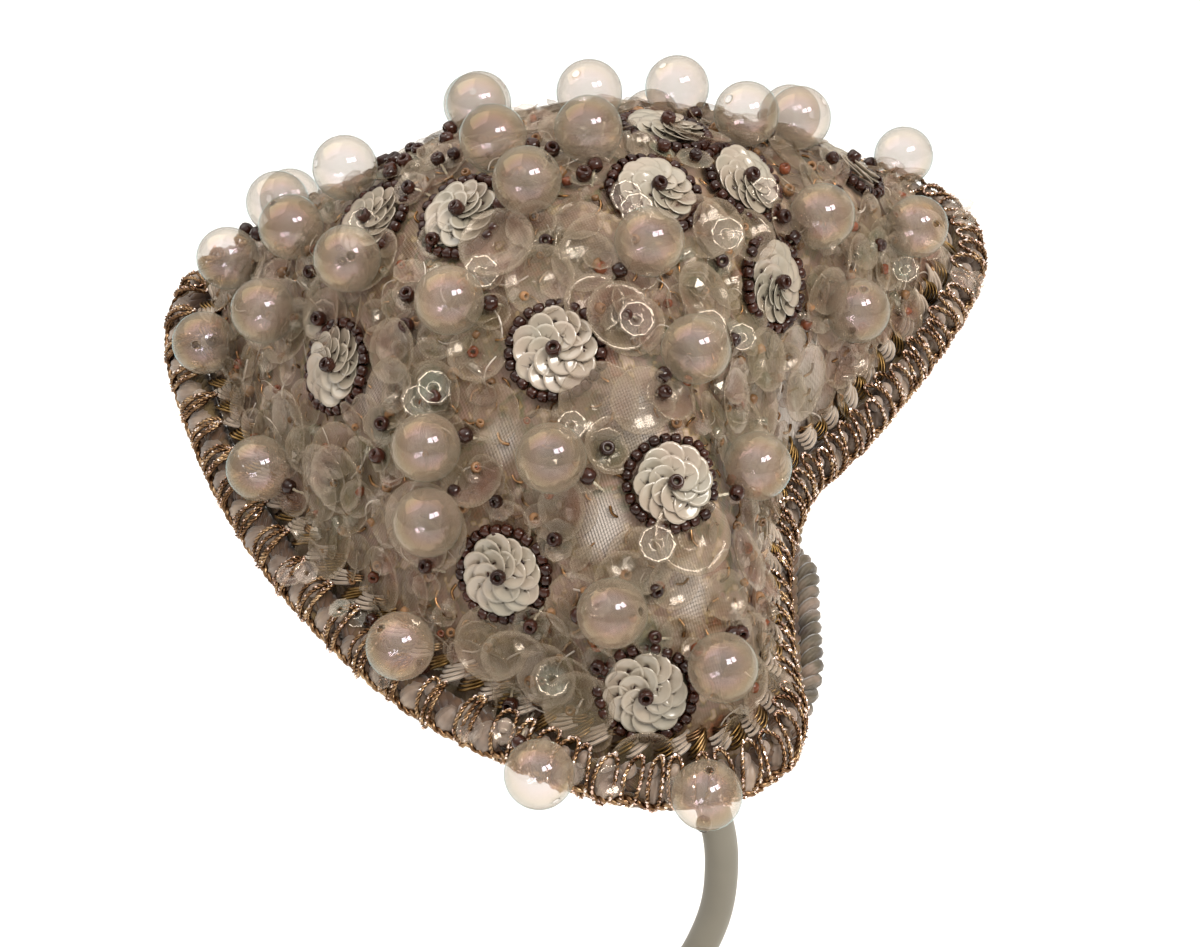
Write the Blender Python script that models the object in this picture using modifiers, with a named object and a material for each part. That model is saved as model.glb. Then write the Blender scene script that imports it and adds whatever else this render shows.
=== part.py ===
"""Heart-shaped beaded juliet cap, tilted on a plain stand with a round base and a bent stem.

Sizes are in millimetres and are turned into metres as each piece is made. The cap has a frame of its
own: +X to the notch in its front edge, +Z up through its crown, z = 0 through the middle of the rim
braid. An empty turns and tilts that frame onto the stand, whose base rests on z = 0.
"""

import math

import bmesh
import bpy
from mathutils import Matrix, Vector
from mathutils.bvhtree import BVHTree

MM = 0.001
UP = Vector((0.0, 0.0, 1.0))

# Where the cap sits on its stand
CAP_TURN = math.radians(-21.6)
CAP_TILT = math.radians(25.0)
CAP_SEAT = Vector((0.0, 10.5, 176.0))
TOUCH = 0.3  # gap between pieces that touch

# Crown of satin cloth
CROWN_HEIGHT = 60.0
CROWN_WALL = 2.0
CROWN_ROUNDING = 66.0  # radius that the heart outline melts into towards the top
CROWN_START = math.radians(34.0)  # where on its ellipse the side leaves the braid
CROWN_ROWS = 7
CROWN_SIDES = 72
BRAID_SEAT = 4.1  # from the middle of the braid in to the cloth
EDGE_DROP = 0.6  # how far the cloth runs down behind the braid

# Middle line of the rim braid, seen from above: tail, near lobe, notch, far lobe, tail
BRAID_LINE = (
    (-86, 0), (-82, -13), (-72, -26.5), (-57.5, -42), (-39.5, -56.5), (-20, -68), (-2, -75.5),
    (17, -79), (35, -80), (50, -75.5), (58.5, -67.5), (60.5, -58), (57.5, -47.5), (53.5, -36.5),
    (49.5, -25), (46, -12), (45, -4), (47.5, 3.5), (51.5, 14.5), (54.5, 26.5), (57.5, 40),
    (59.5, 53), (59.5, 66), (53.5, 76.5), (41, 81.5), (21, 81), (0, 76.5), (-20, 68),
    (-39.5, 56.5), (-57.5, 42), (-72, 26.5), (-82, 13),
)

# Rim braid and the twisted cord that edges it below
BRAID_TALL = 10.4
BRAID_THICK = 6.8
BRAID_SIDES = 7
BRAID_PUFFS = 64
BRAID_WAIST = 0.82
CORD_RADIUS = 1.9
CORD_POINTS = 80
CORD_TUCK = math.radians(-50.0)  # round the braid's oval from its foot, inwards to the cloth's edge
CORD_FRONT = math.radians(14.0)  # the same along the near lobe's front edge, where it shows

# Bubble beads: place seen from above, and lift off the cloth where a bead rides on its neighbours
BEAD_RADIUS = 6.25
BUBBLE_BEADS = (
    (-68, -17.5, 0.4), (-53, -20, 0), (-69, -4.5, 0), (-53, -7, 0), (-61.5, 2, 0),
    (-46, 1.5, 0.4), (-35, -18.5, 1.0), (-27.5, 19, 0), (-18, 3, 0), (-8, -6, 0),
    (-3, 8, 0), (-8, 22, 0), (3, 38, 0), (17.5, 33, 0), (24.5, 44, 0.4),
    (33, 24, 0), (39.5, 73, 3.0), (46, 49, 0), (42, 20.5, 0), (13.5, -10.5, 0),
    (-13, -27, 0), (-9.5, -46, 0), (12, -45, 0), (25, -24, 0), (38, -31, 0),
    (-45, -42, 0), (-6, -54.5, 0), (28.5, -60, 0), (46, -59.5, 0), (-5, -66.5, 2.7),
    (25.5, -75.5, 7.3), (48, -71.5, 7.2), (-67, 14, 0), (-37, 45, 0), (-33, 29, 0),
    (-9, 62, 0.6), (20, 58, 0), (-23, 57, 0),
)

# Sequin rosettes inside rings of seed beads: place seen from above
ROSETTE_RADIUS = 8.4
ROSETTE_LIFT = 0.8
ROSETTES = (
    (-36.5, -32.5), (6, -31), (33, 8), (31.5, -42), (7.5, -60), (37, -67.5), (11, 4),
    (22.5, 20.5), (-20, -10), (-39.5, -8), (6, 24.5), (34.5, 54), (-51, 22), (-22, 43),
    (4, 53),
)

# Stand
BASE_RADIUS = 55.0
BASE_THICK = 6.0
BASE_EDGE = 1.2
STEM_RADIUS = 3.6
STEM_LINE = (
    (0, 0, 6.3), (2, 0, 19), (13, 0, 36), (24.3, 0, 53), (28.3, 0, 73), (24.7, 0, 93),
    (14.5, -0.5, 118), (6, -2, 143), (1.5, -4.5, 172),
)
REST_RADIUS = 15.0
REST_THICK = 8.0
REST_TOP = CROWN_HEIGHT - CROWN_WALL - 0.4


def material(name, colour, roughness, metallic=0.0):
    made = bpy.data.materials.new(name)
    made.use_nodes = True
    shader = made.node_tree.nodes["Principled BSDF"]
    shader.inputs["Base Color"].default_value = (*colour, 1.0)
    shader.inputs["Roughness"].default_value = roughness
    shader.inputs["Metallic"].default_value = metallic
    return made


def add_object(name, data, look, group, parent=None, place=None):
    if not data.materials:
        data.materials.append(look)
    obj = bpy.data.objects.new(name, data)
    group.objects.link(obj)
    obj.parent = parent
    if place is not None:
        obj.matrix_basis = place
    return obj


def turn(obj, sides):
    """Turns a profile at +X into a closed shape."""
    screw = obj.modifiers.new("turned", "SCREW")
    screw.steps = sides
    screw.render_steps = sides
    screw.use_merge_vertices = True
    screw.merge_threshold = 0.00001
    screw.use_smooth_shade = True


def profile_mesh(name, corners):
    """A line of edges through (radius, height) corners, from the top down."""
    mesh = bpy.data.meshes.new(name)
    mesh.from_pydata([(radius * MM, 0.0, height * MM) for radius, height in corners],
                     [(i, i + 1) for i in range(len(corners) - 1)], [])
    return mesh


def smooth_loop(corners, count):
    """Points at even steps along a closed Catmull-Rom curve through the corners."""
    dense = []
    total = len(corners)
    for i in range(total):
        a, b, c, d = (Vector(corners[(i + k) % total]) for k in (-1, 0, 1, 2))
        for step in range(24):
            t = step / 24
            dense.append(0.5 * (2 * b + (c - a) * t + (2 * a - 5 * b + 4 * c - d) * t**2
                                + (3 * b - a - 3 * c + d) * t**3))
    dense.append(dense[0])
    travelled = [0.0]
    for a, b in zip(dense, dense[1:]):
        travelled.append(travelled[-1] + (b - a).length)
    points = []
    i = 0
    for step in range(count):
        want = travelled[-1] * step / count
        while travelled[i + 1] < want:
            i += 1
        share = (want - travelled[i]) / (travelled[i + 1] - travelled[i])
        points.append(dense[i].lerp(dense[i + 1], share))
    return points


def outward(loop, i):
    """Unit vector out of an anticlockwise loop, level with it."""
    along = loop[(i + 1) % len(loop)] - loop[i - 1]
    return Vector((along.y, -along.x)).normalized()


def crown_point(at_braid, out, climb):
    """A point of the crown's outer face: climb 0 is beside the braid, 1 is the top."""
    foot = at_braid - out * BRAID_SEAT * 0.86
    foot_height = -BRAID_SEAT * 0.5
    angle = CROWN_START + (math.pi / 2 - CROWN_START) * climb
    share = math.cos(angle) / math.cos(CROWN_START)
    rise = (math.sin(angle) - math.sin(CROWN_START)) / (1 - math.sin(CROWN_START))
    level = share * (share * foot + (1 - share) * CROWN_ROUNDING * foot.normalized())
    return Vector((level.x, level.y, foot_height + (CROWN_HEIGHT - foot_height) * rise))


def up_the_cloth(at_braid, out):
    """Unit vector up along the crown's side, beside the braid."""
    return (crown_point(at_braid, out, 0.04) - crown_point(at_braid, out, 0.0)).normalized()


def loft(rings, top):
    """A mesh through rings of points, each a closed loop, ending in one top point."""
    shape = bmesh.new()
    rows = [[shape.verts.new(point * MM) for point in ring] for ring in rings]
    peak = shape.verts.new(top * MM)
    for lower, upper in zip(rows, rows[1:]):
        for c in range(len(lower)):
            after = (c + 1) % len(lower)
            shape.faces.new((lower[c], lower[after], upper[after], upper[c]))
    for c in range(len(rows[-1])):
        shape.faces.new((rows[-1][c], rows[-1][(c + 1) % len(rows[-1])], peak))
    for face in shape.faces:
        face.smooth = True
    mesh = bpy.data.meshes.new("loft")
    shape.to_mesh(mesh)
    shape.free()
    return mesh


def crown_rings(sides, rows, drop):
    loop = smooth_loop(BRAID_LINE, sides)
    outs = [outward(loop, i) for i in range(sides)]
    rings = [[crown_point(p, out, 0.0) - up_the_cloth(p, out) * drop for p, out in zip(loop, outs)]]
    for row in range(rows):
        rings.append([crown_point(p, out, row / rows) for p, out in zip(loop, outs)])
    return rings


def build_crown(look, group, seat):
    top = Vector((0, 0, CROWN_HEIGHT))
    crown = add_object("crown", loft(crown_rings(CROWN_SIDES, CROWN_ROWS, EDGE_DROP), top), look,
                       group, seat)
    wall = crown.modifiers.new("wall", "SOLIDIFY")
    wall.thickness = CROWN_WALL * MM
    wall.offset = -1.0
    wall.use_even_offset = False


def closed_curve(name, points):
    """A closed poly curve through points in millimetres."""
    curve = bpy.data.curves.new(name, "CURVE")
    curve.dimensions = "3D"
    curve.twist_mode = "Z_UP"
    spline = curve.splines.new("POLY")
    spline.points.add(len(points) - 1)
    spline.use_cyclic_u = True
    for knot, point in zip(spline.points, points):
        knot.co = (*(point * MM), 1.0)
    return curve


def build_braid(look, group, guides, seat):
    """An oval rope laid against the cloth, with a waist between its puffs."""
    section = bpy.data.curves.new("braid_section", "CURVE")
    section.dimensions = "2D"
    oval = section.splines.new("POLY")
    oval.points.add(BRAID_SIDES - 1)
    oval.use_cyclic_u = True
    for i, corner in enumerate(oval.points):
        angle = math.tau * i / BRAID_SIDES
        corner.co = (math.sin(angle) * BRAID_THICK / 2 * MM, math.cos(angle) * BRAID_TALL / 2 * MM,
                     0.0, 1.0)
    guide = bpy.data.objects.new("braid_section", section)
    guide.hide_render = True
    guide.display_type = "WIRE"
    guides.objects.link(guide)

    loop = smooth_loop(BRAID_LINE, BRAID_PUFFS * 3)
    curve = closed_curve("rim_braid", [point.to_3d() for point in loop])
    curve.bevel_mode = "OBJECT"
    curve.bevel_object = guide
    for i, knot in enumerate(curve.splines[0].points):
        up = up_the_cloth(loop[i], outward(loop, i))
        knot.tilt = -math.acos(min(1.0, up.z))
        knot.radius = BRAID_WAIST if i % 3 == 0 else 1.0
    add_object("rim_braid", curve, look, group, seat)


def cord_shows(point):
    """1 along the front edge of the near lobe, falling to 0 where the edge cord is tucked away."""
    if point.x < 30:
        return 0.0
    reach = min(1.0, max(0.0, 1.4 - abs(point.y + 33.0) / 22.0))
    return reach * reach * (3 - 2 * reach)


def build_cord(look, group, seat):
    """A round cord that lies against the braid's oval section, under it or at its outer foot."""
    loop = smooth_loop(BRAID_LINE, CORD_POINTS)
    points = []
    for i, point in enumerate(loop):
        out = outward(loop, i)
        up = up_the_cloth(point, out)
        away = (out.to_3d() - up * up.dot(out.to_3d())).normalized()
        angle = CORD_TUCK + (CORD_FRONT - CORD_TUCK) * cord_shows(point)
        oval = Vector((math.sin(angle) * BRAID_THICK / 2, -math.cos(angle) * BRAID_TALL / 2))
        square = Vector((math.sin(angle) / BRAID_THICK, -math.cos(angle) / BRAID_TALL)).normalized()
        aside, climb = oval + square * (CORD_RADIUS + TOUCH)
        points.append(point.to_3d() + away * aside + up * climb)
    curve = closed_curve("edge_cord", points)
    curve.bevel_depth = CORD_RADIUS * MM
    curve.bevel_resolution = 1
    add_object("edge_cord", curve, look, group, seat)


class Cloth:
    """The crown's outer face, to set beads on."""

    def __init__(self):
        mesh = loft(crown_rings(240, 40, 0.0)[1:], Vector((0, 0, CROWN_HEIGHT)))
        points = [v.co / MM for v in mesh.vertices]
        self.tree = BVHTree.FromPolygons(points, [tuple(f.vertices) for f in mesh.polygons])
        bpy.data.meshes.remove(mesh)

    def stand_on(self, x, y, lift):
        """The matrix of a thing at (x, y), that far off the cloth and square to it."""
        place, normal, _, _ = self.tree.ray_cast(Vector((x, y, 200)), -UP)
        if place is None:
            place, normal, _, _ = self.tree.find_nearest(Vector((x, y, 0)))
        lean = UP.rotation_difference(normal).to_matrix().to_4x4()
        return Matrix.Translation((place + normal * lift) * MM) @ lean


def build_beads(cloth, look, group, seat):
    ball = bmesh.new()
    bmesh.ops.create_uvsphere(ball, u_segments=10, v_segments=6, radius=BEAD_RADIUS * MM)
    mesh = bpy.data.meshes.new("bubble_bead")
    ball.to_mesh(mesh)
    ball.free()
    mesh.shade_smooth()
    for number, (x, y, lift) in enumerate(BUBBLE_BEADS, 1):
        place = cloth.stand_on(x, y, BEAD_RADIUS + TOUCH + lift)
        add_object(f"bubble_bead_{number:02d}", mesh, look, group, seat, place)


def build_rosettes(cloth, look, group, seat):
    mesh = profile_mesh("rosette", (
        (0, 3.0), (1.6, 2.0), (ROSETTE_RADIUS - 1.2, 2.2), (ROSETTE_RADIUS, 1.2),
        (ROSETTE_RADIUS - 0.6, 0), (0, 0),
    ))
    for number, (x, y) in enumerate(ROSETTES, 1):
        place = cloth.stand_on(x, y, ROSETTE_LIFT)
        turn(add_object(f"rosette_{number:02d}", mesh, look, group, seat, place), 10)


def build_stand(look, group, seat, frame):
    base = profile_mesh("stand_base", (
        (0, BASE_THICK), (BASE_RADIUS - 2 * BASE_EDGE, BASE_THICK),
        (BASE_RADIUS, BASE_THICK - 2 * BASE_EDGE), (BASE_RADIUS, BASE_EDGE),
        (BASE_RADIUS - BASE_EDGE, 0), (0, 0),
    ))
    turn(add_object("stand_base", base, look, group), 32)

    under = REST_TOP - REST_THICK
    rest = profile_mesh("stand_rest", (
        (0, REST_TOP), (7, REST_TOP - 0.7), (REST_RADIUS - 1, REST_TOP - 3),
        (REST_RADIUS, REST_TOP - 4.2), (REST_RADIUS - 1.5, REST_TOP - 5.5),
        (STEM_RADIUS + 1, under), (0, under),
    ))
    turn(add_object("stand_rest", rest, look, group, seat), 18)

    stem = bpy.data.curves.new("stand_stem", "CURVE")
    stem.dimensions = "3D"
    stem.bevel_depth = STEM_RADIUS * MM
    stem.bevel_resolution = 2
    stem.resolution_u = 4
    stem.use_fill_caps = True
    into_rest = [frame @ Vector((0, 0, (under - TOUCH - back) * MM)) for back in (14.0, 0.0)]
    line = [Vector(point) * MM for point in STEM_LINE] + into_rest
    spline = stem.splines.new("BEZIER")
    spline.bezier_points.add(len(line) - 1)
    for knot, place in zip(spline.bezier_points, line):
        knot.co = place
        knot.handle_left_type = "AUTO"
        knot.handle_right_type = "AUTO"
    ends = ((spline.bezier_points[0], UP), (spline.bezier_points[-1], line[-1] - line[-2]))
    for knot, way in ends:
        knot.handle_left_type = "FREE"
        knot.handle_right_type = "FREE"
        knot.handle_left = knot.co - way.normalized() * 5 * MM
        knot.handle_right = knot.co + way.normalized() * 5 * MM
    add_object("stand_stem", stem, look, group)


def main():
    for obj in list(bpy.data.objects):
        bpy.data.objects.remove(obj, do_unlink=True)
    group = bpy.data.collections.new("juliet_cap_on_stand")
    guides = bpy.data.collections.new("guides")
    for collection in (group, guides):
        bpy.context.scene.collection.children.link(collection)

    satin = material("satin_cloth", (0.62, 0.50, 0.42), 0.5)
    braid = material("braid_thread", (0.38, 0.27, 0.20), 0.45)
    cord = material("cord_thread", (0.55, 0.46, 0.36), 0.6)
    bubble = material("bubble_bead", (0.86, 0.80, 0.76), 0.08)
    sequin = material("sequin", (0.70, 0.64, 0.52), 0.25)
    paint = material("stand_paint", (0.24, 0.23, 0.18), 0.4)

    frame = (Matrix.Translation(CAP_SEAT * MM) @ Matrix.Rotation(CAP_TILT, 4, "X")
             @ Matrix.Rotation(CAP_TURN, 4, "Z"))
    seat = bpy.data.objects.new("cap_seat", None)
    seat.matrix_basis = frame
    group.objects.link(seat)

    build_crown(satin, group, seat)
    build_braid(braid, group, guides, seat)
    build_cord(cord, group, seat)
    cloth = Cloth()
    build_beads(cloth, bubble, group, seat)
    build_rosettes(cloth, sequin, group, seat)
    build_stand(paint, group, seat, frame)


main()
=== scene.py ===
"""Heart-shaped satin juliet cap under bubble beads, rosettes and paillettes, on its stand."""

import math
import random

import bmesh
import bpy
from mathutils import Matrix, Vector
from mathutils.bvhtree import BVHTree


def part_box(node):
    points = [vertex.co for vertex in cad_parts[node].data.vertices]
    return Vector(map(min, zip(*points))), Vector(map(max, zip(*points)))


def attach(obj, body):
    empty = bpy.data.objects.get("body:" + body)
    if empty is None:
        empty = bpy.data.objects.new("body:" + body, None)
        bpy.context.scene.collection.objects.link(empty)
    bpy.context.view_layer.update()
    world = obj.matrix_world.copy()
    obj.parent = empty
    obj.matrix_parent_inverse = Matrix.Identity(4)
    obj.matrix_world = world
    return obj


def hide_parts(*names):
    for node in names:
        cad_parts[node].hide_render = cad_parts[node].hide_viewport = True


bl_info = {
    "name": "Beaded juliet cap",
    "version": (1, 0, 0),
    "blender": (4, 5, 0),
    "location": "3D Viewport > Sidebar > Juliet cap",
    "description": "Dresses a heart-shaped juliet cap in beads, sequins and a wrapped braid",
    "category": "Add Mesh",
}

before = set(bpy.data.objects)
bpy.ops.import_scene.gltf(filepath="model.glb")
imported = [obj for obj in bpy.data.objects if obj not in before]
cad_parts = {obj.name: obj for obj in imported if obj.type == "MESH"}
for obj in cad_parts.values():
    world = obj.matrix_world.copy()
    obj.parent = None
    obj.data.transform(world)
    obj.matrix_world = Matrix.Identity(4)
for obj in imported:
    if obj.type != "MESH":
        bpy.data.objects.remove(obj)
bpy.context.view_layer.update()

MM = 0.001
UP = Vector((0.0, 0.0, 1.0))

# Where the cap sits on its stand
CAP_TURN = math.radians(-21.6)
CAP_TILT = math.radians(25.0)
CAP_SEAT = Vector((0.0, 10.5, 176.0))
CAP = (Matrix.Translation(CAP_SEAT * MM) @ Matrix.Rotation(CAP_TILT, 4, "X")
       @ Matrix.Rotation(CAP_TURN, 4, "Z"))
TOUCH = 0.3

# Crown, in millimetres
CROWN_HEIGHT = 60.0
CROWN_WALL = 2.0
CROWN_ROUNDING = 66.0
CROWN_START = math.radians(34.0)
CROWN_SIDES = 288
CROWN_ROWS = 56
BRAID_SEAT = 4.1
EDGE_DROP = 0.6

# Middle line of the rim braid seen from above, in millimetres
BRAID_LINE = (
    (-86, 0), (-82, -13), (-72, -26.5), (-57.5, -42), (-39.5, -56.5), (-20, -68), (-2, -75.5),
    (17, -79), (35, -80), (50, -75.5), (58.5, -67.5), (60.5, -58), (57.5, -47.5), (53.5, -36.5),
    (49.5, -25), (46, -12), (45, -4), (47.5, 3.5), (51.5, 14.5), (54.5, 26.5), (57.5, 40),
    (59.5, 53), (59.5, 66), (53.5, 76.5), (41, 81.5), (21, 81), (0, 76.5), (-20, 68),
    (-39.5, 56.5), (-57.5, 42), (-72, 26.5), (-82, 13),
)
BRAID_TALL = 10.4
BRAID_THICK = 6.8
BRAID_PUFFS = 64
# How far the braid sits in where the edge cord shows
BRAID_GIVES = 2.9

# Edge cord: how far it sits in the braid's oval, comes out where it shows, and its angle round it
CORD_RADIUS = 1.9
CORD_SEWN_IN = 1.4
CORD_STANDS_OUT = 2.4
CORD_TUCK = math.radians(-50.0)
CORD_FRONT = math.radians(52.0)

# Stand, in millimetres
BASE_RADIUS = 55.0
BASE_THICK = 6.0
BASE_EDGE = 1.6
STEM_RADIUS = 3.6
STEM_LINE = (
    (0, 0, 6.3), (2, 0, 19), (13, 0, 36), (24.3, 0, 53), (28.3, 0, 73), (24.7, 0, 93),
    (14.5, -0.5, 118), (6, -2, 143), (1.5, -4.5, 172),
)
REST_TOP = CROWN_HEIGHT - CROWN_WALL - 0.4
REST_THICK = 8.0

# Half sizes of the braid's puffs along the rim, up the cloth and outwards, in millimetres
PUFFS = {"large": (2.95, 3.5, 2.75), "small": (1.4, 1.7, 1.4)}

# Camera, and the key light in metres
LENS = 76.5
KEY_AT = (0.46, -0.66, 0.98)
CAMERA_AT = Vector((-5.5, -455.2, 381.5))
CAMERA_AIM = Vector((2.34, -3.17, 167.75))

# Brown seed beads that stop the strings, seen from above
STOPPERS = (
    (-52.2, -19.7), (-71.5, -15.1), (-42.0, -24.5), (-23.6, -24.8), (-21.8, -29.6), (-22.5, -15.6),
    (-12.1, -8.4), (-1.9, -14.7), (-7.6, -26.2), (-12.4, -39.8), (-4.8, -44.5), (-21.5, -42.5),
    (-21.0, -46.3), (-4.6, -51.7), (3.7, -51.8), (-38.8, -46.3), (-6.5, -59.5), (15.0, -64.4),
    (34.0, -55.8), (35.9, -60.9), (22.1, -62.2), (28.2, -66.7), (46.7, -55.6), (47.6, -54.0),
    (14.3, -72.4), (-2.4, -69.9), (-15.8, -63.8), (19.8, -41.7), (19.6, -46.2),
    (24.0, -28.6), (25.2, -30.8), (15.4, -22.3), (29.9, -11.2), (11.9, -14.9), (24.2, -1.3),
    (29.5, 19.0), (35.0, 37.0), (22.3, 41.9), (-1.1, 15.9), (8.6, 14.6), (13.8, 16.2), (-0.9, 0.3),
    (-8.5, 5.0), (43.8, 39.5), (46.5, 50.2), (44.3, 20.4), (32.3, 18.7), (39.0, -40.7),
    (-47.9, -15.2), (-53.3, -7.9), (-38.7, 10.2), (-31.6, 10.7), (-39.5, 2.8), (15.6, -54.5),
    (-40.5, 6.6), (-38.7, 1.1), (-36.3, 8.3), (-44.6, 4.5), (-32.5, -3.8), (-29.5, 2.5),
    (-26.9, 3.6), (-43.4, 7.8), (-34.2, 12.6), (0.1, 3.0), (-9.7, 4.9), (22.3, 38.1),
    (32.2, 45.0), (-37.3, 4.4),
)

# Patches where the satin lies bare: place seen from above, and radius
BARE = ((22.0, -36.5, 4.2), (22.5, -51.5, 3.0), (40.5, 1.0, 3.6), (42.5, 9.5, 3.2),
        (39.5, -53.5, 2.2), (1.0, -44.5, 1.8), (-27.5, -38.0, 1.6))

# Clear paillettes that show: place seen from above, and size across
PAILLETTES = (
    (-0.4, -21.0, 13), (42.0, 29.8, 14), (-29.2, -47.4, 13), (8.4, -67.0, 14), (6.5, -72.7, 12),
    (19.7, -69.1, 12), (36.7, -47.3, 14), (-27.6, -54.6, 14), (-8.0, -54.9, 17), (-41.8, -23.4, 15),
    (40.1, 4.3, 15), (-32.5, -46.0, 12), (-21.6, -38.7, 13), (-15.5, -38.3, 9), (-61.8, -27.3, 10),
    (-50.4, -23.4, 13), (-42.7, -38.0, 14), (-34.1, -17.4, 13), (-10.2, -16.5, 14),
    (6.8, -12.8, 13), (24.0, -10.3, 13), (22.3, -33.2, 12), (15.7, -35.7, 14), (14.4, -50.6, 13),
    (30.5, -53.6, 12), (44.7, -43.5, 12), (-1.7, -49.0, 13), (-23.2, -32.8, 12), (14.4, -22.8, 13),
    (34.5, -4.9, 12), (46.5, 41.9, 12), (19.7, 1.6, 13), (-31.3, -55.9, 12), (26.5, -71.2, 13),
    (39.3, -74.1, 13), (54.2, -57.6, 12), (33.3, -20.2, 12), (39.3, 17.1, 13), (12.4, 24.1, 12),
)

# Flat clear sequins that catch the light: place seen from above
CLEAR_SEQUINS = (
    (7.3, -1.8), (9.8, -3.6), (23.3, 3.8), (-12.9, -38.6), (-15.3, -40.3), (-10.9, -21.6),
    (13.0, -40.4), (-19.5, -62.6), (21.0, -69.2), (30.5, -9.5), (26.2, -14.7), (25.5, 19.7),
    (48.4, 43.6), (-39.1, -9.6), (9.3, -73.9), (17.0, -22.5), (25.5, -60.2), (31.9, -50.6),
)


def linear(colour):
    """Linear red, green and blue of an sRGB hex value."""
    parts = [int(colour[i:i + 2], 16) / 255 for i in (1, 3, 5)]
    return tuple(c / 12.92 if c <= 0.04045 else ((c + 0.055) / 1.055) ** 2.4 for c in parts)


def add_node(tree, kind, inputs=None, **settings):
    """Adds a node with its settings, and sets or links its inputs."""
    node = tree.nodes.new(kind)
    for name, value in settings.items():
        setattr(node, name, value)
    for socket, value in (inputs or {}).items():
        if isinstance(value, bpy.types.NodeSocket):
            tree.links.new(value, node.inputs[socket])
        else:
            node.inputs[socket].default_value = value
    return node


# Materials

def new_material(name, colour, roughness, **values):
    """A Principled material. Values are its sockets' names with underscores for spaces."""
    made = bpy.data.materials.new(name)
    made.use_nodes = True
    tree = made.node_tree
    shader = tree.nodes["Principled BSDF"]
    shader.inputs["Base Color"].default_value = (*colour, 1.0)
    shader.inputs["Roughness"].default_value = roughness
    for socket, value in values.items():
        shader.inputs[socket.replace("_", " ")].default_value = value
    return made, tree, shader


def mottled(tree, colours, scale, detail=3.0):
    """A noise over the object that runs through colours at even steps."""
    place = add_node(tree, "ShaderNodeTexCoord")
    noise = add_node(tree, "ShaderNodeTexNoise", {"Vector": place.outputs["Object"], "Scale": scale,
                                                  "Detail": detail})
    ramp = add_node(tree, "ShaderNodeValToRGB", {"Fac": noise.outputs["Fac"]})
    stops = ramp.color_ramp.elements
    while len(stops) < len(colours):
        stops.new(0.5)
    for i, colour in enumerate(colours):
        stops[i].position = 0.32 + 0.36 * i / (len(colours) - 1)
        stops[i].color = (*colour, 1.0)
    return ramp.outputs["Color"]


def satin_weave(settings):
    """Brocaded satin: brown, gold and olive figures, silvery and finely woven where it lies bare."""
    made, tree, shader = new_material("brocaded satin", settings.cloth, 0.42, Sheen_Weight=0.15)
    figures = mottled(tree, (linear("#573620"), linear("#6a5036"), settings.cloth,
                             linear("#856a5a"), linear("#5f573a"), linear("#7a604e")), 120.0)
    fine = mottled(tree, (linear("#6a3013"), linear("#7d5030"), (0.0, 0.0, 0.0), (0.0, 0.0, 0.0),
                          linear("#8f774c"), linear("#b39a84")), 430.0, 1.0)
    figures = add_node(tree, "ShaderNodeMix", {"Factor": 0.75, 6: figures, 7: fine},
                       data_type="RGBA", blend_type="LIGHTEN").outputs[2]
    bare = add_node(tree, "ShaderNodeAttribute", attribute_name="bare")
    mixed = add_node(tree, "ShaderNodeMix", {"Factor": bare.outputs["Fac"], 6: figures,
                                             7: (*settings.satin, 1.0)}, data_type="RGBA")
    tree.links.new(mixed.outputs[2], shader.inputs["Base Color"])
    lay = add_node(tree, "ShaderNodeUVMap", uv_map="cloth")
    apart = add_node(tree, "ShaderNodeSeparateXYZ", {"Vector": lay.outputs["UV"]})
    # Threads are drawn 0.7 mm apart, coarser than real satin, so that they show
    waves = []
    for axis in ("X", "Y"):
        turns = add_node(tree, "ShaderNodeMath", {0: apart.outputs[axis], 1: math.tau / 0.7},
                         operation="MULTIPLY")
        waves.append(add_node(tree, "ShaderNodeMath", {0: turns.outputs[0]}, operation="SINE"))
    weave = add_node(tree, "ShaderNodeMath", {0: waves[0].outputs[0], 1: waves[1].outputs[0]},
                     operation="MULTIPLY")
    showing = add_node(tree, "ShaderNodeMath", {0: bare.outputs["Fac"], 1: 0.88, 2: 0.12},
                       operation="MULTIPLY_ADD")
    height = add_node(tree, "ShaderNodeMath", {0: weave.outputs[0], 1: showing.outputs[0]},
                      operation="MULTIPLY")
    bump = add_node(tree, "ShaderNodeBump", {"Height": height.outputs[0], "Strength": 0.9,
                                             "Distance": 0.0003})
    tree.links.new(bump.outputs["Normal"], shader.inputs["Normal"])
    return made


def rayon_floss(name, colours, roughness=0.38, across=9.0, slant=0.0):
    """Spun floss: soft sheen, with fine fibres that run along each strand."""
    made, tree, shader = new_material(name, colours[1], roughness, Sheen_Weight=0.3)
    tree.links.new(mottled(tree, colours, 180.0), shader.inputs["Base Color"])
    round_it = add_node(tree, "ShaderNodeAttribute", attribute_name="round")
    run = add_node(tree, "ShaderNodeAttribute", attribute_name="run")
    turns = add_node(tree, "ShaderNodeMath", {0: round_it.outputs["Fac"], 1: math.tau * across},
                     operation="MULTIPLY")
    lean = add_node(tree, "ShaderNodeMath", {0: run.outputs["Fac"], 1: slant, 2: turns.outputs[0]},
                    operation="MULTIPLY_ADD")
    wave = add_node(tree, "ShaderNodeMath", {0: lean.outputs[0]}, operation="SINE")
    bump = add_node(tree, "ShaderNodeBump", {"Height": wave.outputs[0], "Strength": 0.6,
                                             "Distance": 0.00015})
    tree.links.new(bump.outputs["Normal"], shader.inputs["Normal"])
    return made


def metallic_yarn(name, colours, roughness=0.3):
    """Yarn wound with metal foil: dark plies with narrow highlights."""
    made, tree, shader = new_material(name, colours[0], roughness, Metallic=1.0)
    tree.links.new(mottled(tree, colours, 350.0), shader.inputs["Base Color"])
    return made


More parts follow.
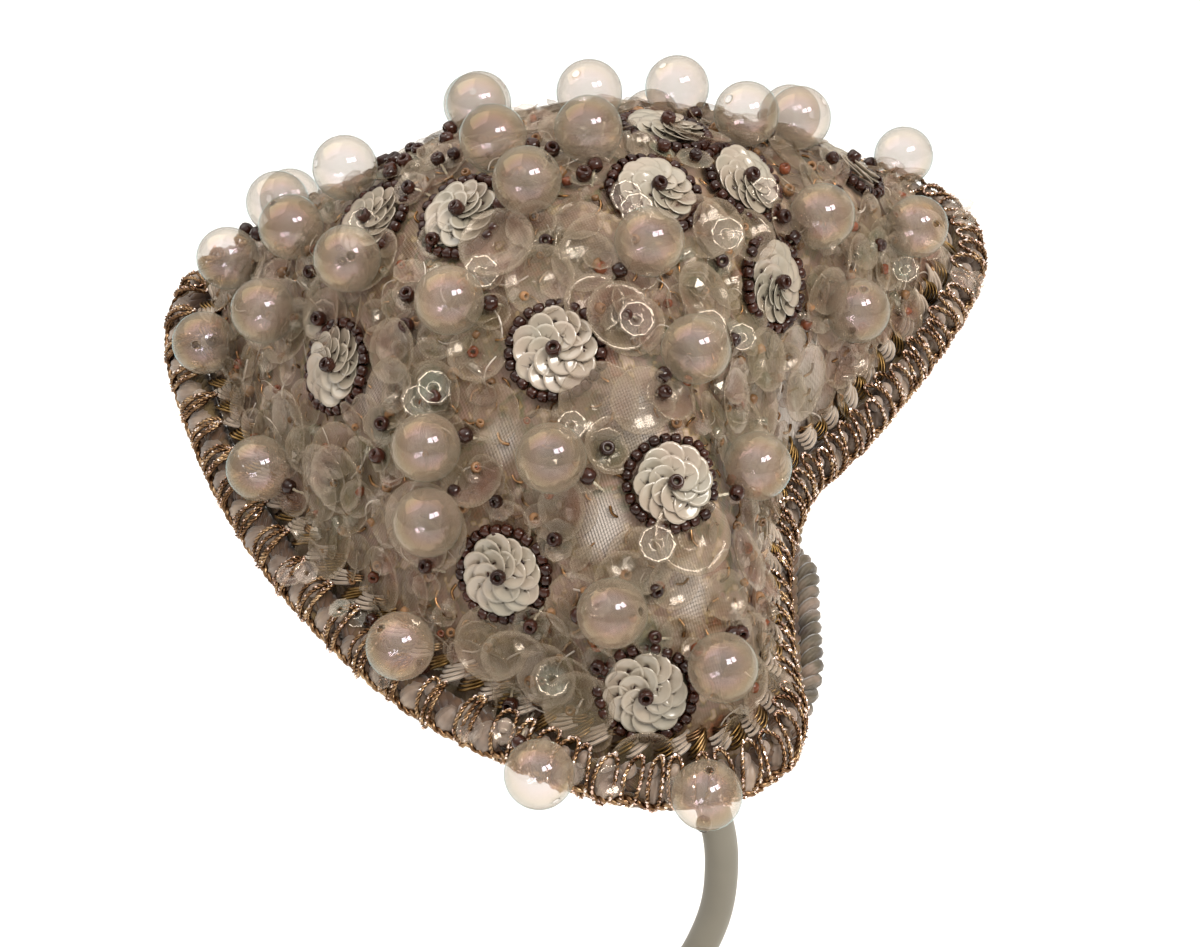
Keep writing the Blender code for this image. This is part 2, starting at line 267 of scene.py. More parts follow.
def clear_plastic(name, colours, least, most, roughness=0.05, index=2.0, strength=3.0, film=0.0):
    """Thin clear acetate or blown acrylic: seen through face on, hazy and pale at its edges."""
    # The index is above acrylic's so that glints stay strong on a nearly clear face
    made, tree, shader = new_material(name, colours[1], roughness, IOR=index,
                                      Specular_Tint=(1.0, 0.89, 0.78, 1.0),
                                      Thin_Film_Thickness=film, Thin_Film_IOR=1.1)
    rolled = add_node(tree, "ShaderNodeAttribute", attribute_name="rim")
    mixed = add_node(tree, "ShaderNodeMix", {"Factor": rolled.outputs["Fac"],
                                             6: mottled(tree, colours, 75.0, 1.0),
                                             7: (*linear("#93826d"), 1.0)}, data_type="RGBA")
    tree.links.new(mixed.outputs[2], shader.inputs["Base Color"])
    edge = add_node(tree, "ShaderNodeLayerWeight", {"Blend": 0.5})
    turned = add_node(tree, "ShaderNodeMath", {0: edge.outputs["Facing"], 1: strength},
                      operation="POWER")
    clear = add_node(tree, "ShaderNodeMapRange", {"Value": turned.outputs[0], "To Min": least,
                                                  "To Max": most})
    inner = add_node(tree, "ShaderNodeAttribute", attribute_name="inner")
    kept = add_node(tree, "ShaderNodeMath", {0: inner.outputs["Fac"], 1: -0.8, 2: 1.0},
                    operation="MULTIPLY_ADD")
    skin = add_node(tree, "ShaderNodeMath", {0: clear.outputs["Result"], 1: kept.outputs[0]},
                    operation="MULTIPLY")
    alpha = add_node(tree, "ShaderNodeMath", {0: rolled.outputs["Fac"], 1: 0.05,
                                              2: skin.outputs[0]}, operation="MULTIPLY_ADD")
    tree.links.new(alpha.outputs[0], shader.inputs["Alpha"])
    return made


def pearly(name, colours, roughness=0.22):
    """Pearl-coated plastic: ivory, faintly mottled pink and green."""
    made, tree, shader = new_material(name, colours[1], roughness, Coat_Weight=0.5,
                                      Coat_Roughness=0.1)
    tree.links.new(mottled(tree, colours, 130.0, 1.0), shader.inputs["Base Color"])
    return made


def cast_glass(name, colour, roughness=0.1):
    """Opaque pressed glass with a fire-polished skin."""
    made, tree, shader = new_material(name, colour, roughness, Specular_IOR_Level=0.15,
                                      Coat_Weight=0.35, Coat_Roughness=0.05)
    tree.links.new(mottled(tree, (tuple(c * 0.6 for c in colour), colour,
                                  tuple(c * 1.6 for c in colour)), 220.0, 1.0),
                   shader.inputs["Base Color"])
    return made


def satin_paint(colour):
    """Sprayed satin enamel over steel, with a faint unevenness."""
    made, tree, shader = new_material("satin enamel", colour, 0.42)
    tree.links.new(mottled(tree, (tuple(c * 0.86 for c in colour), colour,
                                  tuple(min(1.0, c * 1.12) for c in colour)), 45.0),
                   shader.inputs["Base Color"])
    place = add_node(tree, "ShaderNodeTexCoord")
    grain = add_node(tree, "ShaderNodeTexNoise", {"Vector": place.outputs["Object"],
                                                  "Scale": 900.0})
    bump = add_node(tree, "ShaderNodeBump", {"Height": grain.outputs["Fac"], "Strength": 0.08,
                                             "Distance": 0.0002})
    tree.links.new(bump.outputs["Normal"], shader.inputs["Normal"])
    return made


# The shape of the rim and of the crown

def smooth_loop(corners, count):
    """Points at even steps along a closed Catmull-Rom curve through the corners."""
    dense = []
    total = len(corners)
    for i in range(total):
        a, b, c, d = (Vector(corners[(i + k) % total]) for k in (-1, 0, 1, 2))
        for step in range(24):
            t = step / 24
            dense.append(0.5 * (2 * b + (c - a) * t + (2 * a - 5 * b + 4 * c - d) * t**2
                                + (3 * b - a - 3 * c + d) * t**3))
    dense.append(dense[0])
    travelled = [0.0]
    for a, b in zip(dense, dense[1:]):
        travelled.append(travelled[-1] + (b - a).length)
    points = []
    i = 0
    for step in range(count):
        want = travelled[-1] * step / count
        while travelled[i + 1] < want:
            i += 1
        share = (want - travelled[i]) / (travelled[i + 1] - travelled[i])
        points.append(dense[i].lerp(dense[i + 1], share))
    return points


def outward(loop, i):
    along = loop[(i + 1) % len(loop)] - loop[i - 1]
    return Vector((along.y, -along.x)).normalized()


def crown_point(at_braid, out, climb):
    """A point of the crown's outer face: climb 0 is beside the braid, 1 is the top."""
    foot = at_braid - out * BRAID_SEAT * 0.86
    foot_height = -BRAID_SEAT * 0.5
    angle = CROWN_START + (math.pi / 2 - CROWN_START) * climb
    share = math.cos(angle) / math.cos(CROWN_START)
    rise = (math.sin(angle) - math.sin(CROWN_START)) / (1 - math.sin(CROWN_START))
    level = share * (share * foot + (1 - share) * CROWN_ROUNDING * foot.normalized())
    return Vector((level.x, level.y, foot_height + (CROWN_HEIGHT - foot_height) * rise))


def up_the_cloth(at_braid, out):
    return (crown_point(at_braid, out, 0.04) - crown_point(at_braid, out, 0.0)).normalized()


def cord_shows(point):
    """How far the edge cord stands out under the braid: 1 along the near lobe's front edge."""
    if point.x < 30:
        return 0.0
    reach = min(1.0, max(0.0, 1.4 - abs(point.y + 33.0) / 22.0))
    return reach * reach * (3 - 2 * reach)


class Rim:
    """The braid's middle line with its three directions, by how far round it a point is."""

    def __init__(self, count):
        self.loop = smooth_loop(BRAID_LINE, count)
        self.count = count
        self.length = sum((b - a).length for a, b in zip(self.loop, self.loop[1:] + self.loop[:1]))

    def at(self, share, aside=0.0, climb=0.0):
        """The point that far outwards and up the cloth from the middle line, in cap millimetres."""
        place = (share % 1.0) * self.count
        i = int(place) % self.count
        point = self.loop[i].lerp(self.loop[(i + 1) % self.count], place - int(place))
        out = outward(self.loop, i).lerp(outward(self.loop, (i + 1) % self.count),
                                         place - int(place)).normalized()
        up = up_the_cloth(point, out)
        away = (out.to_3d() - up * up.dot(out.to_3d())).normalized()
        aside -= BRAID_GIVES * cord_shows(point)
        return point.to_3d() + away * aside + up * climb, away, up, up.cross(away).normalized()

    def near(self, point):
        """The middle line's point nearest to a place."""
        return min((p.to_3d() for p in self.loop[::4]), key=lambda p: (p - point).length)

    def round_oval(self, share, angle, clear):
        """A point clear of the braid's oval: angle 0 is its foot, 90 degrees its outer side."""
        oval = Vector((math.sin(angle) * BRAID_THICK / 2, -math.cos(angle) * BRAID_TALL / 2))
        square = Vector((math.sin(angle) / BRAID_THICK, -math.cos(angle) / BRAID_TALL)).normalized()
        aside, climb = oval + square * clear
        return self.at(share, aside, climb)[0]


class Cloth:
    """The crown's outer face in cap millimetres, to set things on."""

    def __init__(self):
        loop = smooth_loop(BRAID_LINE, 240)
        outs = [outward(loop, i) for i in range(240)]
        points = []
        for row in range(40):
            points += [crown_point(p, out, row / 40) for p, out in zip(loop, outs)]
        points.append(Vector((0, 0, CROWN_HEIGHT)))
        faces = []
        for row in range(39):
            for c in range(240):
                d = (c + 1) % 240
                faces.append((row * 240 + c, row * 240 + d, row * 240 + 240 + d, row * 240 + 240 + c))
        faces += [(39 * 240 + c, 39 * 240 + (c + 1) % 240, 9600) for c in range(240)]
        self.tree = BVHTree.FromPolygons(points, faces)

    def under(self, x, y):
        """The cloth's point under or over a place seen from above, and its normal."""
        place, normal, _, _ = self.tree.ray_cast(Vector((x, y, 200)), -UP)
        if place is None:
            place, normal, _, _ = self.tree.find_nearest(Vector((x, y, 0)))
        return place, normal

    def near(self, point):
        place, normal, _, _ = self.tree.find_nearest(point)
        return place, normal


def in_world(point):
    return CAP @ (point * MM)


def way_in_world(vector):
    return (CAP.to_3x3() @ vector).normalized()


def in_cap(point):
    return (CAP.inverted() @ point) / MM


# Geometry Nodes

def new_tree(name, sockets):
    tree = bpy.data.node_groups.new(name, "GeometryNodeTree")
    tree.interface.new_socket("Geometry", in_out="INPUT", socket_type="NodeSocketGeometry")
    for label, kind, default in sockets:
        socket = tree.interface.new_socket(label, in_out="INPUT", socket_type="NodeSocket" + kind)
        if default is not None:
            socket.default_value = default
    tree.interface.new_socket("Geometry", in_out="OUTPUT", socket_type="NodeSocketGeometry")
    return tree, tree.nodes.new("NodeGroupInput").outputs


def finish_tree(tree, geometry, finish):
    """Realizes the instances, gives them their material and ends the tree."""
    real = add_node(tree, "GeometryNodeRealizeInstances", {"Geometry": geometry})
    dressed = add_node(tree, "GeometryNodeSetMaterial", {"Geometry": real.outputs["Geometry"],
                                                         "Material": finish})
    add_node(tree, "NodeGroupOutput", {"Geometry": dressed.outputs["Geometry"]})


def sewn_copies(tree, points, rotation, given):
    """Copies of the piece on points, each leaning, turning and sized a little differently."""
    piece = add_node(tree, "GeometryNodeObjectInfo", {"Object": given["Piece"], "As Instance": True})
    least = add_node(tree, "ShaderNodeVectorMath", {0: given["Lean"], 1: (-1, -1, -1)},
                     operation="MULTIPLY")
    lean = add_node(tree, "FunctionNodeRandomValue", {0: least.outputs[0], 1: given["Lean"],
                                                      8: given["Seed"]}, data_type="FLOAT_VECTOR")
    turned = add_node(tree, "FunctionNodeEulerToRotation", {"Euler": lean.outputs[0]})
    facing = add_node(tree, "FunctionNodeRotateRotation", {"Rotation": rotation,
                                                           "Rotate By": turned.outputs[0]},
                      rotation_space="LOCAL")
    size = add_node(tree, "FunctionNodeRandomValue", {2: given["Least size"], 3: given["Most size"],
                                                      8: given["Seed"]}, data_type="FLOAT")
    own = add_node(tree, "GeometryNodeInputNamedAttribute", {"Name": "size"}, data_type="FLOAT")
    known = add_node(tree, "GeometryNodeSwitch", {0: own.outputs["Exists"], 1: 1.0,
                                                  2: own.outputs["Attribute"]}, input_type="FLOAT")
    scale = add_node(tree, "ShaderNodeMath", {0: size.outputs[1], 1: known.outputs[0]},
                     operation="MULTIPLY")
    copies = add_node(tree, "GeometryNodeInstanceOnPoints",
                      {"Points": points, "Instance": piece.outputs["Geometry"],
                       "Rotation": facing.outputs["Rotation"], "Scale": scale.outputs[0]})
    return copies.outputs["Instances"]


COPY_SOCKETS = (("Piece", "Object", None), ("Finish", "Material", None),
                ("Lean", "Vector", (0.0, 0.0, 0.0)), ("Least size", "Float", 1.0),
                ("Most size", "Float", 1.0), ("Seed", "Int", 1))


def placed_tree():
    """Sets a piece on each point, facing and running the ways that the point says."""
    tree, given = new_tree("set on places", COPY_SOCKETS)
    facing = add_node(tree, "GeometryNodeInputNamedAttribute", {"Name": "facing"},
                      data_type="FLOAT_VECTOR")
    along = add_node(tree, "GeometryNodeInputNamedAttribute", {"Name": "along"},
                     data_type="FLOAT_VECTOR")
    upright = add_node(tree, "FunctionNodeAlignRotationToVector",
                       {"Vector": facing.outputs["Attribute"]}, axis="Z")
    aligned = add_node(tree, "FunctionNodeAlignRotationToVector",
                       {"Rotation": upright.outputs[0], "Vector": along.outputs["Attribute"]},
                       axis="X", pivot_axis="Z")
    copies = sewn_copies(tree, given["Geometry"], aligned.outputs[0], given)
    finish_tree(tree, copies, given["Finish"])
    return tree


def strewn_tree():
    """Strews a piece over a cloth, no closer than a spacing and clear of some places."""
    tree, given = new_tree("strewn over cloth", COPY_SOCKETS + (
        ("Spacing", "Float", 0.01), ("Lift", "Float", 0.001), ("Clear of", "Object", None),
        ("Clearance", "Float", 0.01)))
    sewn = add_node(tree, "GeometryNodeDistributePointsOnFaces",
                    {"Mesh": given["Geometry"], "Distance Min": given["Spacing"],
                     "Density Max": 90000.0, "Seed": given["Seed"]}, distribute_method="POISSON")
    kept = add_node(tree, "GeometryNodeObjectInfo", {"Object": given["Clear of"]})
    gap = add_node(tree, "GeometryNodeProximity", {0: kept.outputs["Geometry"]},
                   target_element="POINTS")
    close = add_node(tree, "FunctionNodeCompare", {0: gap.outputs["Distance"],
                                                   1: given["Clearance"]}, operation="LESS_THAN")
    open_ground = add_node(tree, "GeometryNodeDeleteGeometry",
                           {"Geometry": sewn.outputs["Points"], "Selection": close.outputs[0]})
    normal = add_node(tree, "ShaderNodeVectorMath", {0: (0, 0, 1)}, operation="NORMALIZE")
    up = add_node(tree, "FunctionNodeRotateVector", {"Vector": normal.outputs[0],
                                                     "Rotation": sewn.outputs["Rotation"]})
    lift = add_node(tree, "ShaderNodeVectorMath", {0: up.outputs[0], "Scale": given["Lift"]},
                    operation="SCALE")
    raised = add_node(tree, "GeometryNodeSetPosition",
                      {"Geometry": open_ground.outputs["Geometry"], "Offset": lift.outputs[0]})
    copies = sewn_copies(tree, raised.outputs["Geometry"], sewn.outputs["Rotation"], given)
    finish_tree(tree, copies, given["Finish"])
    return tree


def plied_tree():
    """Twists plies of a thread round each line of edges."""
    tree, given = new_tree("plied thread", (
        ("Finish", "Material", None), ("Plies", "Int", 2), ("Ply radius", "Float", 0.0003),
        ("Twist radius", "Float", 0.0003), ("Pitch", "Float", 0.002), ("Step", "Float", 0.0004),
        ("Sides", "Int", 5)))
    line = add_node(tree, "GeometryNodeMeshToCurve", {"Mesh": given["Geometry"]})
    even = add_node(tree, "GeometryNodeResampleCurve", {"Curve": line.outputs["Curve"],
                                                        "Length": given["Step"]}, mode="LENGTH")
    plies = add_node(tree, "GeometryNodeDuplicateElements", {"Geometry": even.outputs["Curve"],
                                                             "Amount": given["Plies"]},
                     domain="SPLINE")
    run = add_node(tree, "GeometryNodeSplineParameter")
    kept_run = add_node(tree, "GeometryNodeStoreNamedAttribute",
                        {"Geometry": plies.outputs["Geometry"], "Name": "run",
                         "Value": run.outputs["Length"]}, data_type="FLOAT", domain="POINT")
    start = add_node(tree, "ShaderNodeMath", {0: plies.outputs["Duplicate Index"],
                                              1: given["Plies"]}, operation="DIVIDE")
    turns = add_node(tree, "ShaderNodeMath", {0: run.outputs["Length"], 1: given["Pitch"]},
                     operation="DIVIDE")
    both = add_node(tree, "ShaderNodeMath", {0: start.outputs[0], 1: turns.outputs[0]},
                    operation="ADD")
    angle = add_node(tree, "ShaderNodeMath", {0: both.outputs[0], 1: math.tau},
                     operation="MULTIPLY")
    normal = add_node(tree, "GeometryNodeInputNormal")
    tangent = add_node(tree, "GeometryNodeInputTangent")
    side = add_node(tree, "ShaderNodeVectorMath", {0: tangent.outputs[0], 1: normal.outputs[0]},
                    operation="CROSS_PRODUCT")
    parts = []
    for way, turn in ((normal.outputs[0], "COSINE"), (side.outputs[0], "SINE")):
        share = add_node(tree, "ShaderNodeMath", {0: angle.outputs[0]}, operation=turn)
        reach = add_node(tree, "ShaderNodeMath", {0: share.outputs[0], 1: given["Twist radius"]},
                         operation="MULTIPLY")
        parts.append(add_node(tree, "ShaderNodeVectorMath", {0: way, "Scale": reach.outputs[0]},
                              operation="SCALE"))
    offset = add_node(tree, "ShaderNodeVectorMath", {0: parts[0].outputs[0],
                                                     1: parts[1].outputs[0]}, operation="ADD")
    twisted = add_node(tree, "GeometryNodeSetPosition", {"Geometry": kept_run.outputs["Geometry"],
                                                         "Offset": offset.outputs[0]})
    ring = add_node(tree, "GeometryNodeCurvePrimitiveCircle", {"Resolution": given["Sides"],
                                                               "Radius": given["Ply radius"]})
    ring_run = add_node(tree, "GeometryNodeSplineParameter")
    kept_ring = add_node(tree, "GeometryNodeStoreNamedAttribute",
                         {"Geometry": ring.outputs["Curve"], "Name": "round",
                          "Value": ring_run.outputs["Factor"]}, data_type="FLOAT", domain="POINT")
    tube = add_node(tree, "GeometryNodeCurveToMesh", {"Curve": twisted.outputs["Geometry"],
                                                      "Profile Curve": kept_ring.outputs["Geometry"],
                                                      "Fill Caps": True})
    finish_tree(tree, tube.outputs["Mesh"], given["Finish"])
    return tree


def grown(name, mesh, tree, values):
    """A finished piece: the plain mesh that a tree grows from a mesh, smooth shaded."""
    seed = link_object(name + "_seed", mesh)
    modifier = seed.modifiers.new("grow", "NODES")
    modifier.node_group = tree
    for socket in tree.interface.items_tree:
        if socket.in_out == "INPUT" and socket.name in values:
            modifier[socket.identifier] = values[socket.name]
    graph = bpy.context.evaluated_depsgraph_get()
    made = bpy.data.meshes.new_from_object(seed.evaluated_get(graph),
                                           preserve_all_data_layers=True, depsgraph=graph)
    bpy.data.objects.remove(seed)
    if not made.polygons:
        raise RuntimeError(f"{name} grew no faces")
    made.name = name
    made.shade_smooth()
    return link_object(name, made)


def link_object(name, mesh):
    obj = bpy.data.objects.new(name, mesh)
    bpy.context.scene.collection.objects.link(obj)
    return obj


def hidden_piece(mesh):
    """An object that trees copy and nothing else shows."""
    obj = link_object(mesh.name, mesh)
    obj.hide_render = True
    return obj


def drop(*objects):
    for obj in objects:
        bpy.data.objects.remove(obj)


def places_mesh(places):
    """Points in the world from (cap point, facing, along, size)."""
    mesh = bpy.data.meshes.new("places")
    mesh.from_pydata([in_world(place[0]) for place in places], [], [])
    for name, column in (("facing", 1), ("along", 2)):
        layer = mesh.attributes.new(name, "FLOAT_VECTOR", "POINT")
        for item, place in zip(layer.data, places):
            item.vector = way_in_world(place[column])
    sizes = mesh.attributes.new("size", "FLOAT", "POINT")
    for item, place in zip(sizes.data, places):
        item.value = place[3]
    return mesh


def lines_mesh(lines, closed=False):
    """Edges in the world through each line of cap points."""
    points = []
    edges = []
    for line in lines:
        first = len(points)
        points += [in_world(point) for point in line]
        edges += [(i, i + 1) for i in range(first, len(points) - 1)]
        if closed:
            edges.append((len(points) - 1, first))
    mesh = bpy.data.meshes.new("lines")
    mesh.from_pydata(points, edges, [])
    return mesh


def across(normal, rng):
    """A random direction square to the normal."""
    way = Vector((rng.uniform(-1, 1), rng.uniform(-1, 1), rng.uniform(-1, 1)))
    way -= normal * way.dot(normal)
    return way.normalized() if way.length > 0.05 else normal.orthogonal().normalized()


def finish_piece(obj, slot, *nodes):
    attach(obj, "root")
    if nodes:
        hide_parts(*nodes)
    return obj


# Small pieces that are copied

def mesh_of(name, shape):
    """The mesh of a finished bmesh."""
    mesh = bpy.data.meshes.new(name)
    shape.to_mesh(mesh)
    shape.free()
    return mesh


def turned_mesh(name, profile, sides, closed=False):
    """A shape turned round Z from (radius, height) corners in millimetres, outer side first."""
    shape = bmesh.new()
    verts = [shape.verts.new((radius * MM, 0.0, height * MM)) for radius, height in profile]
    edges = [shape.edges.new(pair) for pair in zip(verts, verts[1:])]
    if closed:
        edges.append(shape.edges.new((verts[-1], verts[0])))
    bmesh.ops.spin(shape, geom=verts + edges, axis=(0, 0, 1), cent=(0, 0, 0), steps=sides,
                   angle=math.tau, use_duplicate=False)
    bmesh.ops.remove_doubles(shape, verts=shape.verts, dist=0.000002)
    bmesh.ops.recalc_face_normals(shape, faces=shape.faces)
    return mesh_of(name, shape)


def ring_profile(radius, hole, height, rounding=5):
    """Corners of a bead's section between its hole and its outer side."""
    middle = (radius + hole) / 2
    thick = (radius - hole) / 2
    return [(middle + thick * math.cos(math.tau * k / (2 * rounding)),
             height / 2 * math.sin(math.tau * k / (2 * rounding))) for k in range(2 * rounding)]


def bubble_mesh(radius, wall, hole):
    """A hollow ball with a hole at each end of its string, which runs along Z."""
    outer = [(radius * math.cos(math.radians(a)), radius * math.sin(math.radians(a)))
             for a in range(-80, 81, 10)]
    inner = [((radius - wall) * math.cos(math.radians(a)), (radius - wall) * math.sin(math.radians(a)))
             for a in range(78, -79, -12)]
    start = (hole, -math.sqrt(radius**2 - hole**2))
    end = (hole, math.sqrt(radius**2 - hole**2))
    mesh = turned_mesh("bubble", [start] + outer + [end] + inner, 30, True)
    skin = mesh.attributes.new("inner", "FLOAT", "POINT")
    for item, vert in zip(skin.data, mesh.vertices):
        item.value = 1.0 if vert.co.length < (radius - wall * 0.5) * MM else 0.0
    return mesh


def cup_mesh(name, radius, hole, depth, sheet, sides=20, roll=0.0):
    """A cupped disc with a hole in its middle and its rim up, which may be rolled."""
    steps = 4
    under = []
    for k in range(steps + 1):
        share = hole / radius + (1 - hole / radius) * k / steps
        under.append((radius * share, depth * share**2))
    over = [(r, h + sheet) for r, h in reversed(under)]
    rim = []
    if roll:
        middle = depth + sheet / 2
        rim = [(radius + roll * math.cos(math.radians(a)), middle + roll * math.sin(math.radians(a)))
               for a in (-100, 0, 100)]
        under.pop()
        over.pop(0)
    mesh = turned_mesh(name, under + rim + over, sides, True)
    edge = mesh.attributes.new("rim", "FLOAT", "POINT")
    for item, vert in zip(edge.data, mesh.vertices):
        item.value = 1.0 if roll and vert.co.xy.length > (radius - roll) * MM else 0.0
    return mesh


def bent_thread_mesh(name, reach, radius):
    """A short bent thread that lies along X."""
    curve = bpy.data.curves.new(name, "CURVE")
    curve.dimensions = "3D"
    curve.bevel_depth = radius * MM
    curve.bevel_resolution = 0
    curve.use_fill_caps = True
    spline = curve.splines.new("POLY")
    steps = 7
    spline.points.add(steps - 1)
    for k, point in enumerate(spline.points):
        t = k / (steps - 1)
        point.co = ((t - 0.5) * 2 * reach * MM, 0.35 * reach * math.sin(math.pi * t) * MM,
                    0.22 * reach * math.sin(math.pi * t) * MM, 1.0)
    bent = link_object(name, curve)
    graph = bpy.context.evaluated_depsgraph_get()
    mesh = bpy.data.meshes.new_from_object(bent.evaluated_get(graph), depsgraph=graph)
    drop(bent)
    return mesh


def slack_thread(cloth, start, way, rng):
    """Points of a short thread from a bead down onto the cloth."""
    end = cloth.near(start + way.normalized() * rng.uniform(2.0, 3.6))[0]
    middle = (start + end) / 2
    foot, normal = cloth.near(middle)
    middle = middle + normal * 0.5
    return [start, middle, end]


def glint_way(point):
    """The way a flat piece faces to throw the key light's reflection at the camera."""
    place = in_world(point)
    to_camera = (CAMERA_AT * MM - place).normalized()
    to_key = (Vector(KEY_AT) - place).normalized()
    return (CAP.to_3x3().inverted() @ (to_camera + to_key)).normalized()


def faceted_mesh(name, radius):
    """A ball cut in 20 facets."""
    shape = bmesh.new()
    bmesh.ops.create_icosphere(shape, subdivisions=1, radius=radius * MM)
    return mesh_of(name, shape)


# Settings

class JulietCapSettings(bpy.types.PropertyGroup):
    """Sizes and colours of the cap's trimmings."""

    bead_size: bpy.props.FloatProperty(
        name="Bubble bead", description="Width of a bubble bead", default=0.0125, unit="LENGTH")
    bead_wall: bpy.props.FloatProperty(
        name="Bubble wall", description="Wall of a bubble bead", default=0.0005, unit="LENGTH")
    seed_size: bpy.props.FloatProperty(
        name="Seed bead", description="Width of a brown seed bead", default=0.0023, unit="LENGTH")
    stopper_size: bpy.props.FloatProperty(
        name="Stopper", description="Width of a bead that stops a string", default=0.0030,
        unit="LENGTH")
    sequin_size: bpy.props.FloatProperty(
        name="Cup sequin", description="Width of an ivory sequin", default=0.0054, unit="LENGTH")
    sequins_round: bpy.props.IntProperty(
        name="Sequins", description="Sequins in a rosette's outer round", default=12)
    seeds_round: bpy.props.IntProperty(
        name="Seed beads", description="Seed beads round a rosette", default=25)
    paillette_size: bpy.props.FloatProperty(
        name="Paillette", description="Width of a clear paillette", default=0.012, unit="LENGTH")
    cloth: bpy.props.FloatVectorProperty(
        name="Cloth", description="Colour of the satin", subtype="COLOR", default=linear("#78634e"))
    satin: bpy.props.FloatVectorProperty(
        name="Bare satin", description="Colour of the satin where it lies bare", subtype="COLOR",
        default=linear("#c4b8ae"))
    floss: bpy.props.FloatVectorProperty(
        name="Floss", description="Colour of the braid's floss", subtype="COLOR",
        default=linear("#7f6d5f"))
    copper: bpy.props.FloatVectorProperty(
        name="Copper", description="Colour of the metallic yarn", subtype="COLOR",
        default=linear("#775a40"))
    seed: bpy.props.FloatVectorProperty(
        name="Seed beads", description="Colour of the seed beads", subtype="COLOR",
        default=linear("#2b140c"))
    sequin: bpy.props.FloatVectorProperty(
        name="Sequins", description="Colour of the cup sequins", subtype="COLOR",
        default=linear("#9a8e7e"))
    clear: bpy.props.FloatVectorProperty(
        name="Clear plastic", description="Tint of the clear pieces", subtype="COLOR",
        default=linear("#7f6d59"))
    paint: bpy.props.FloatVectorProperty(
        name="Stand", description="Colour of the stand", subtype="COLOR",
        default=linear("#6b665a"))


class CapOperator:
    """What every step of the cap shares."""

    bl_options = {"REGISTER", "UNDO"}

    @property
    def rng(self):
        return random.Random(self.bl_idname)


class JULIET_OT_crown(CapOperator, bpy.types.Operator):
    """Makes the crown's satin cloth"""

    bl_idname = "juliet.crown"
    bl_label = "Crown"

    def execute(self, context):
        settings = context.scene.juliet_cap
        loop = smooth_loop(BRAID_LINE, CROWN_SIDES)
        outs = [outward(loop, i) for i in range(CROWN_SIDES)]
        rows = [[crown_point(p, out, 0.0) - up_the_cloth(p, out) * EDGE_DROP
                 for p, out in zip(loop, outs)]]
        for row in range(CROWN_ROWS):
            rows.append([crown_point(p, out, row / CROWN_ROWS) for p, out in zip(loop, outs)])
        shape = bmesh.new()
        lay = shape.loops.layers.uv.new("cloth")
        bare = shape.verts.layers.float.new("bare")
        verts = [[shape.verts.new(in_world(p)) for p in row] for row in rows]
        top = shape.verts.new(in_world(Vector((0, 0, CROWN_HEIGHT))))
        flat = {}
        for row, line in enumerate(rows):
            for p, vert in zip(line, verts[row]):
                flat[vert] = (p.x, p.y)
        flat[top] = (0.0, 0.0)
        for vert, (x, y) in flat.items():
            reach = max((r + 2.0 - math.dist((x, y), (at_x, at_y))) / 3.0 for at_x, at_y, r in BARE)
            vert[bare] = min(1.0, max(0.0, reach))
        for lower, upper in zip(verts, verts[1:]):
            for c in range(CROWN_SIDES):
                d = (c + 1) % CROWN_SIDES
                shape.faces.new((lower[c], lower[d], upper[d], upper[c]))
        for c in range(CROWN_SIDES):
            shape.faces.new((verts[-1][c], verts[-1][(c + 1) % CROWN_SIDES], top))
        for face in shape.faces:
            face.smooth = True
            for corner in face.loops:
                corner[lay].uv = flat[corner.vert]
        mesh = mesh_of("crown_cloth", shape)
        mesh.materials.append(satin_weave(settings))
        crown = link_object("crown_cloth", mesh)
        wall = crown.modifiers.new("wall", "SOLIDIFY")
        wall.thickness = CROWN_WALL * MM
        wall.offset = -1.0
        finish_piece(crown, "satin_cloth", "crown")
        return {"FINISHED"}


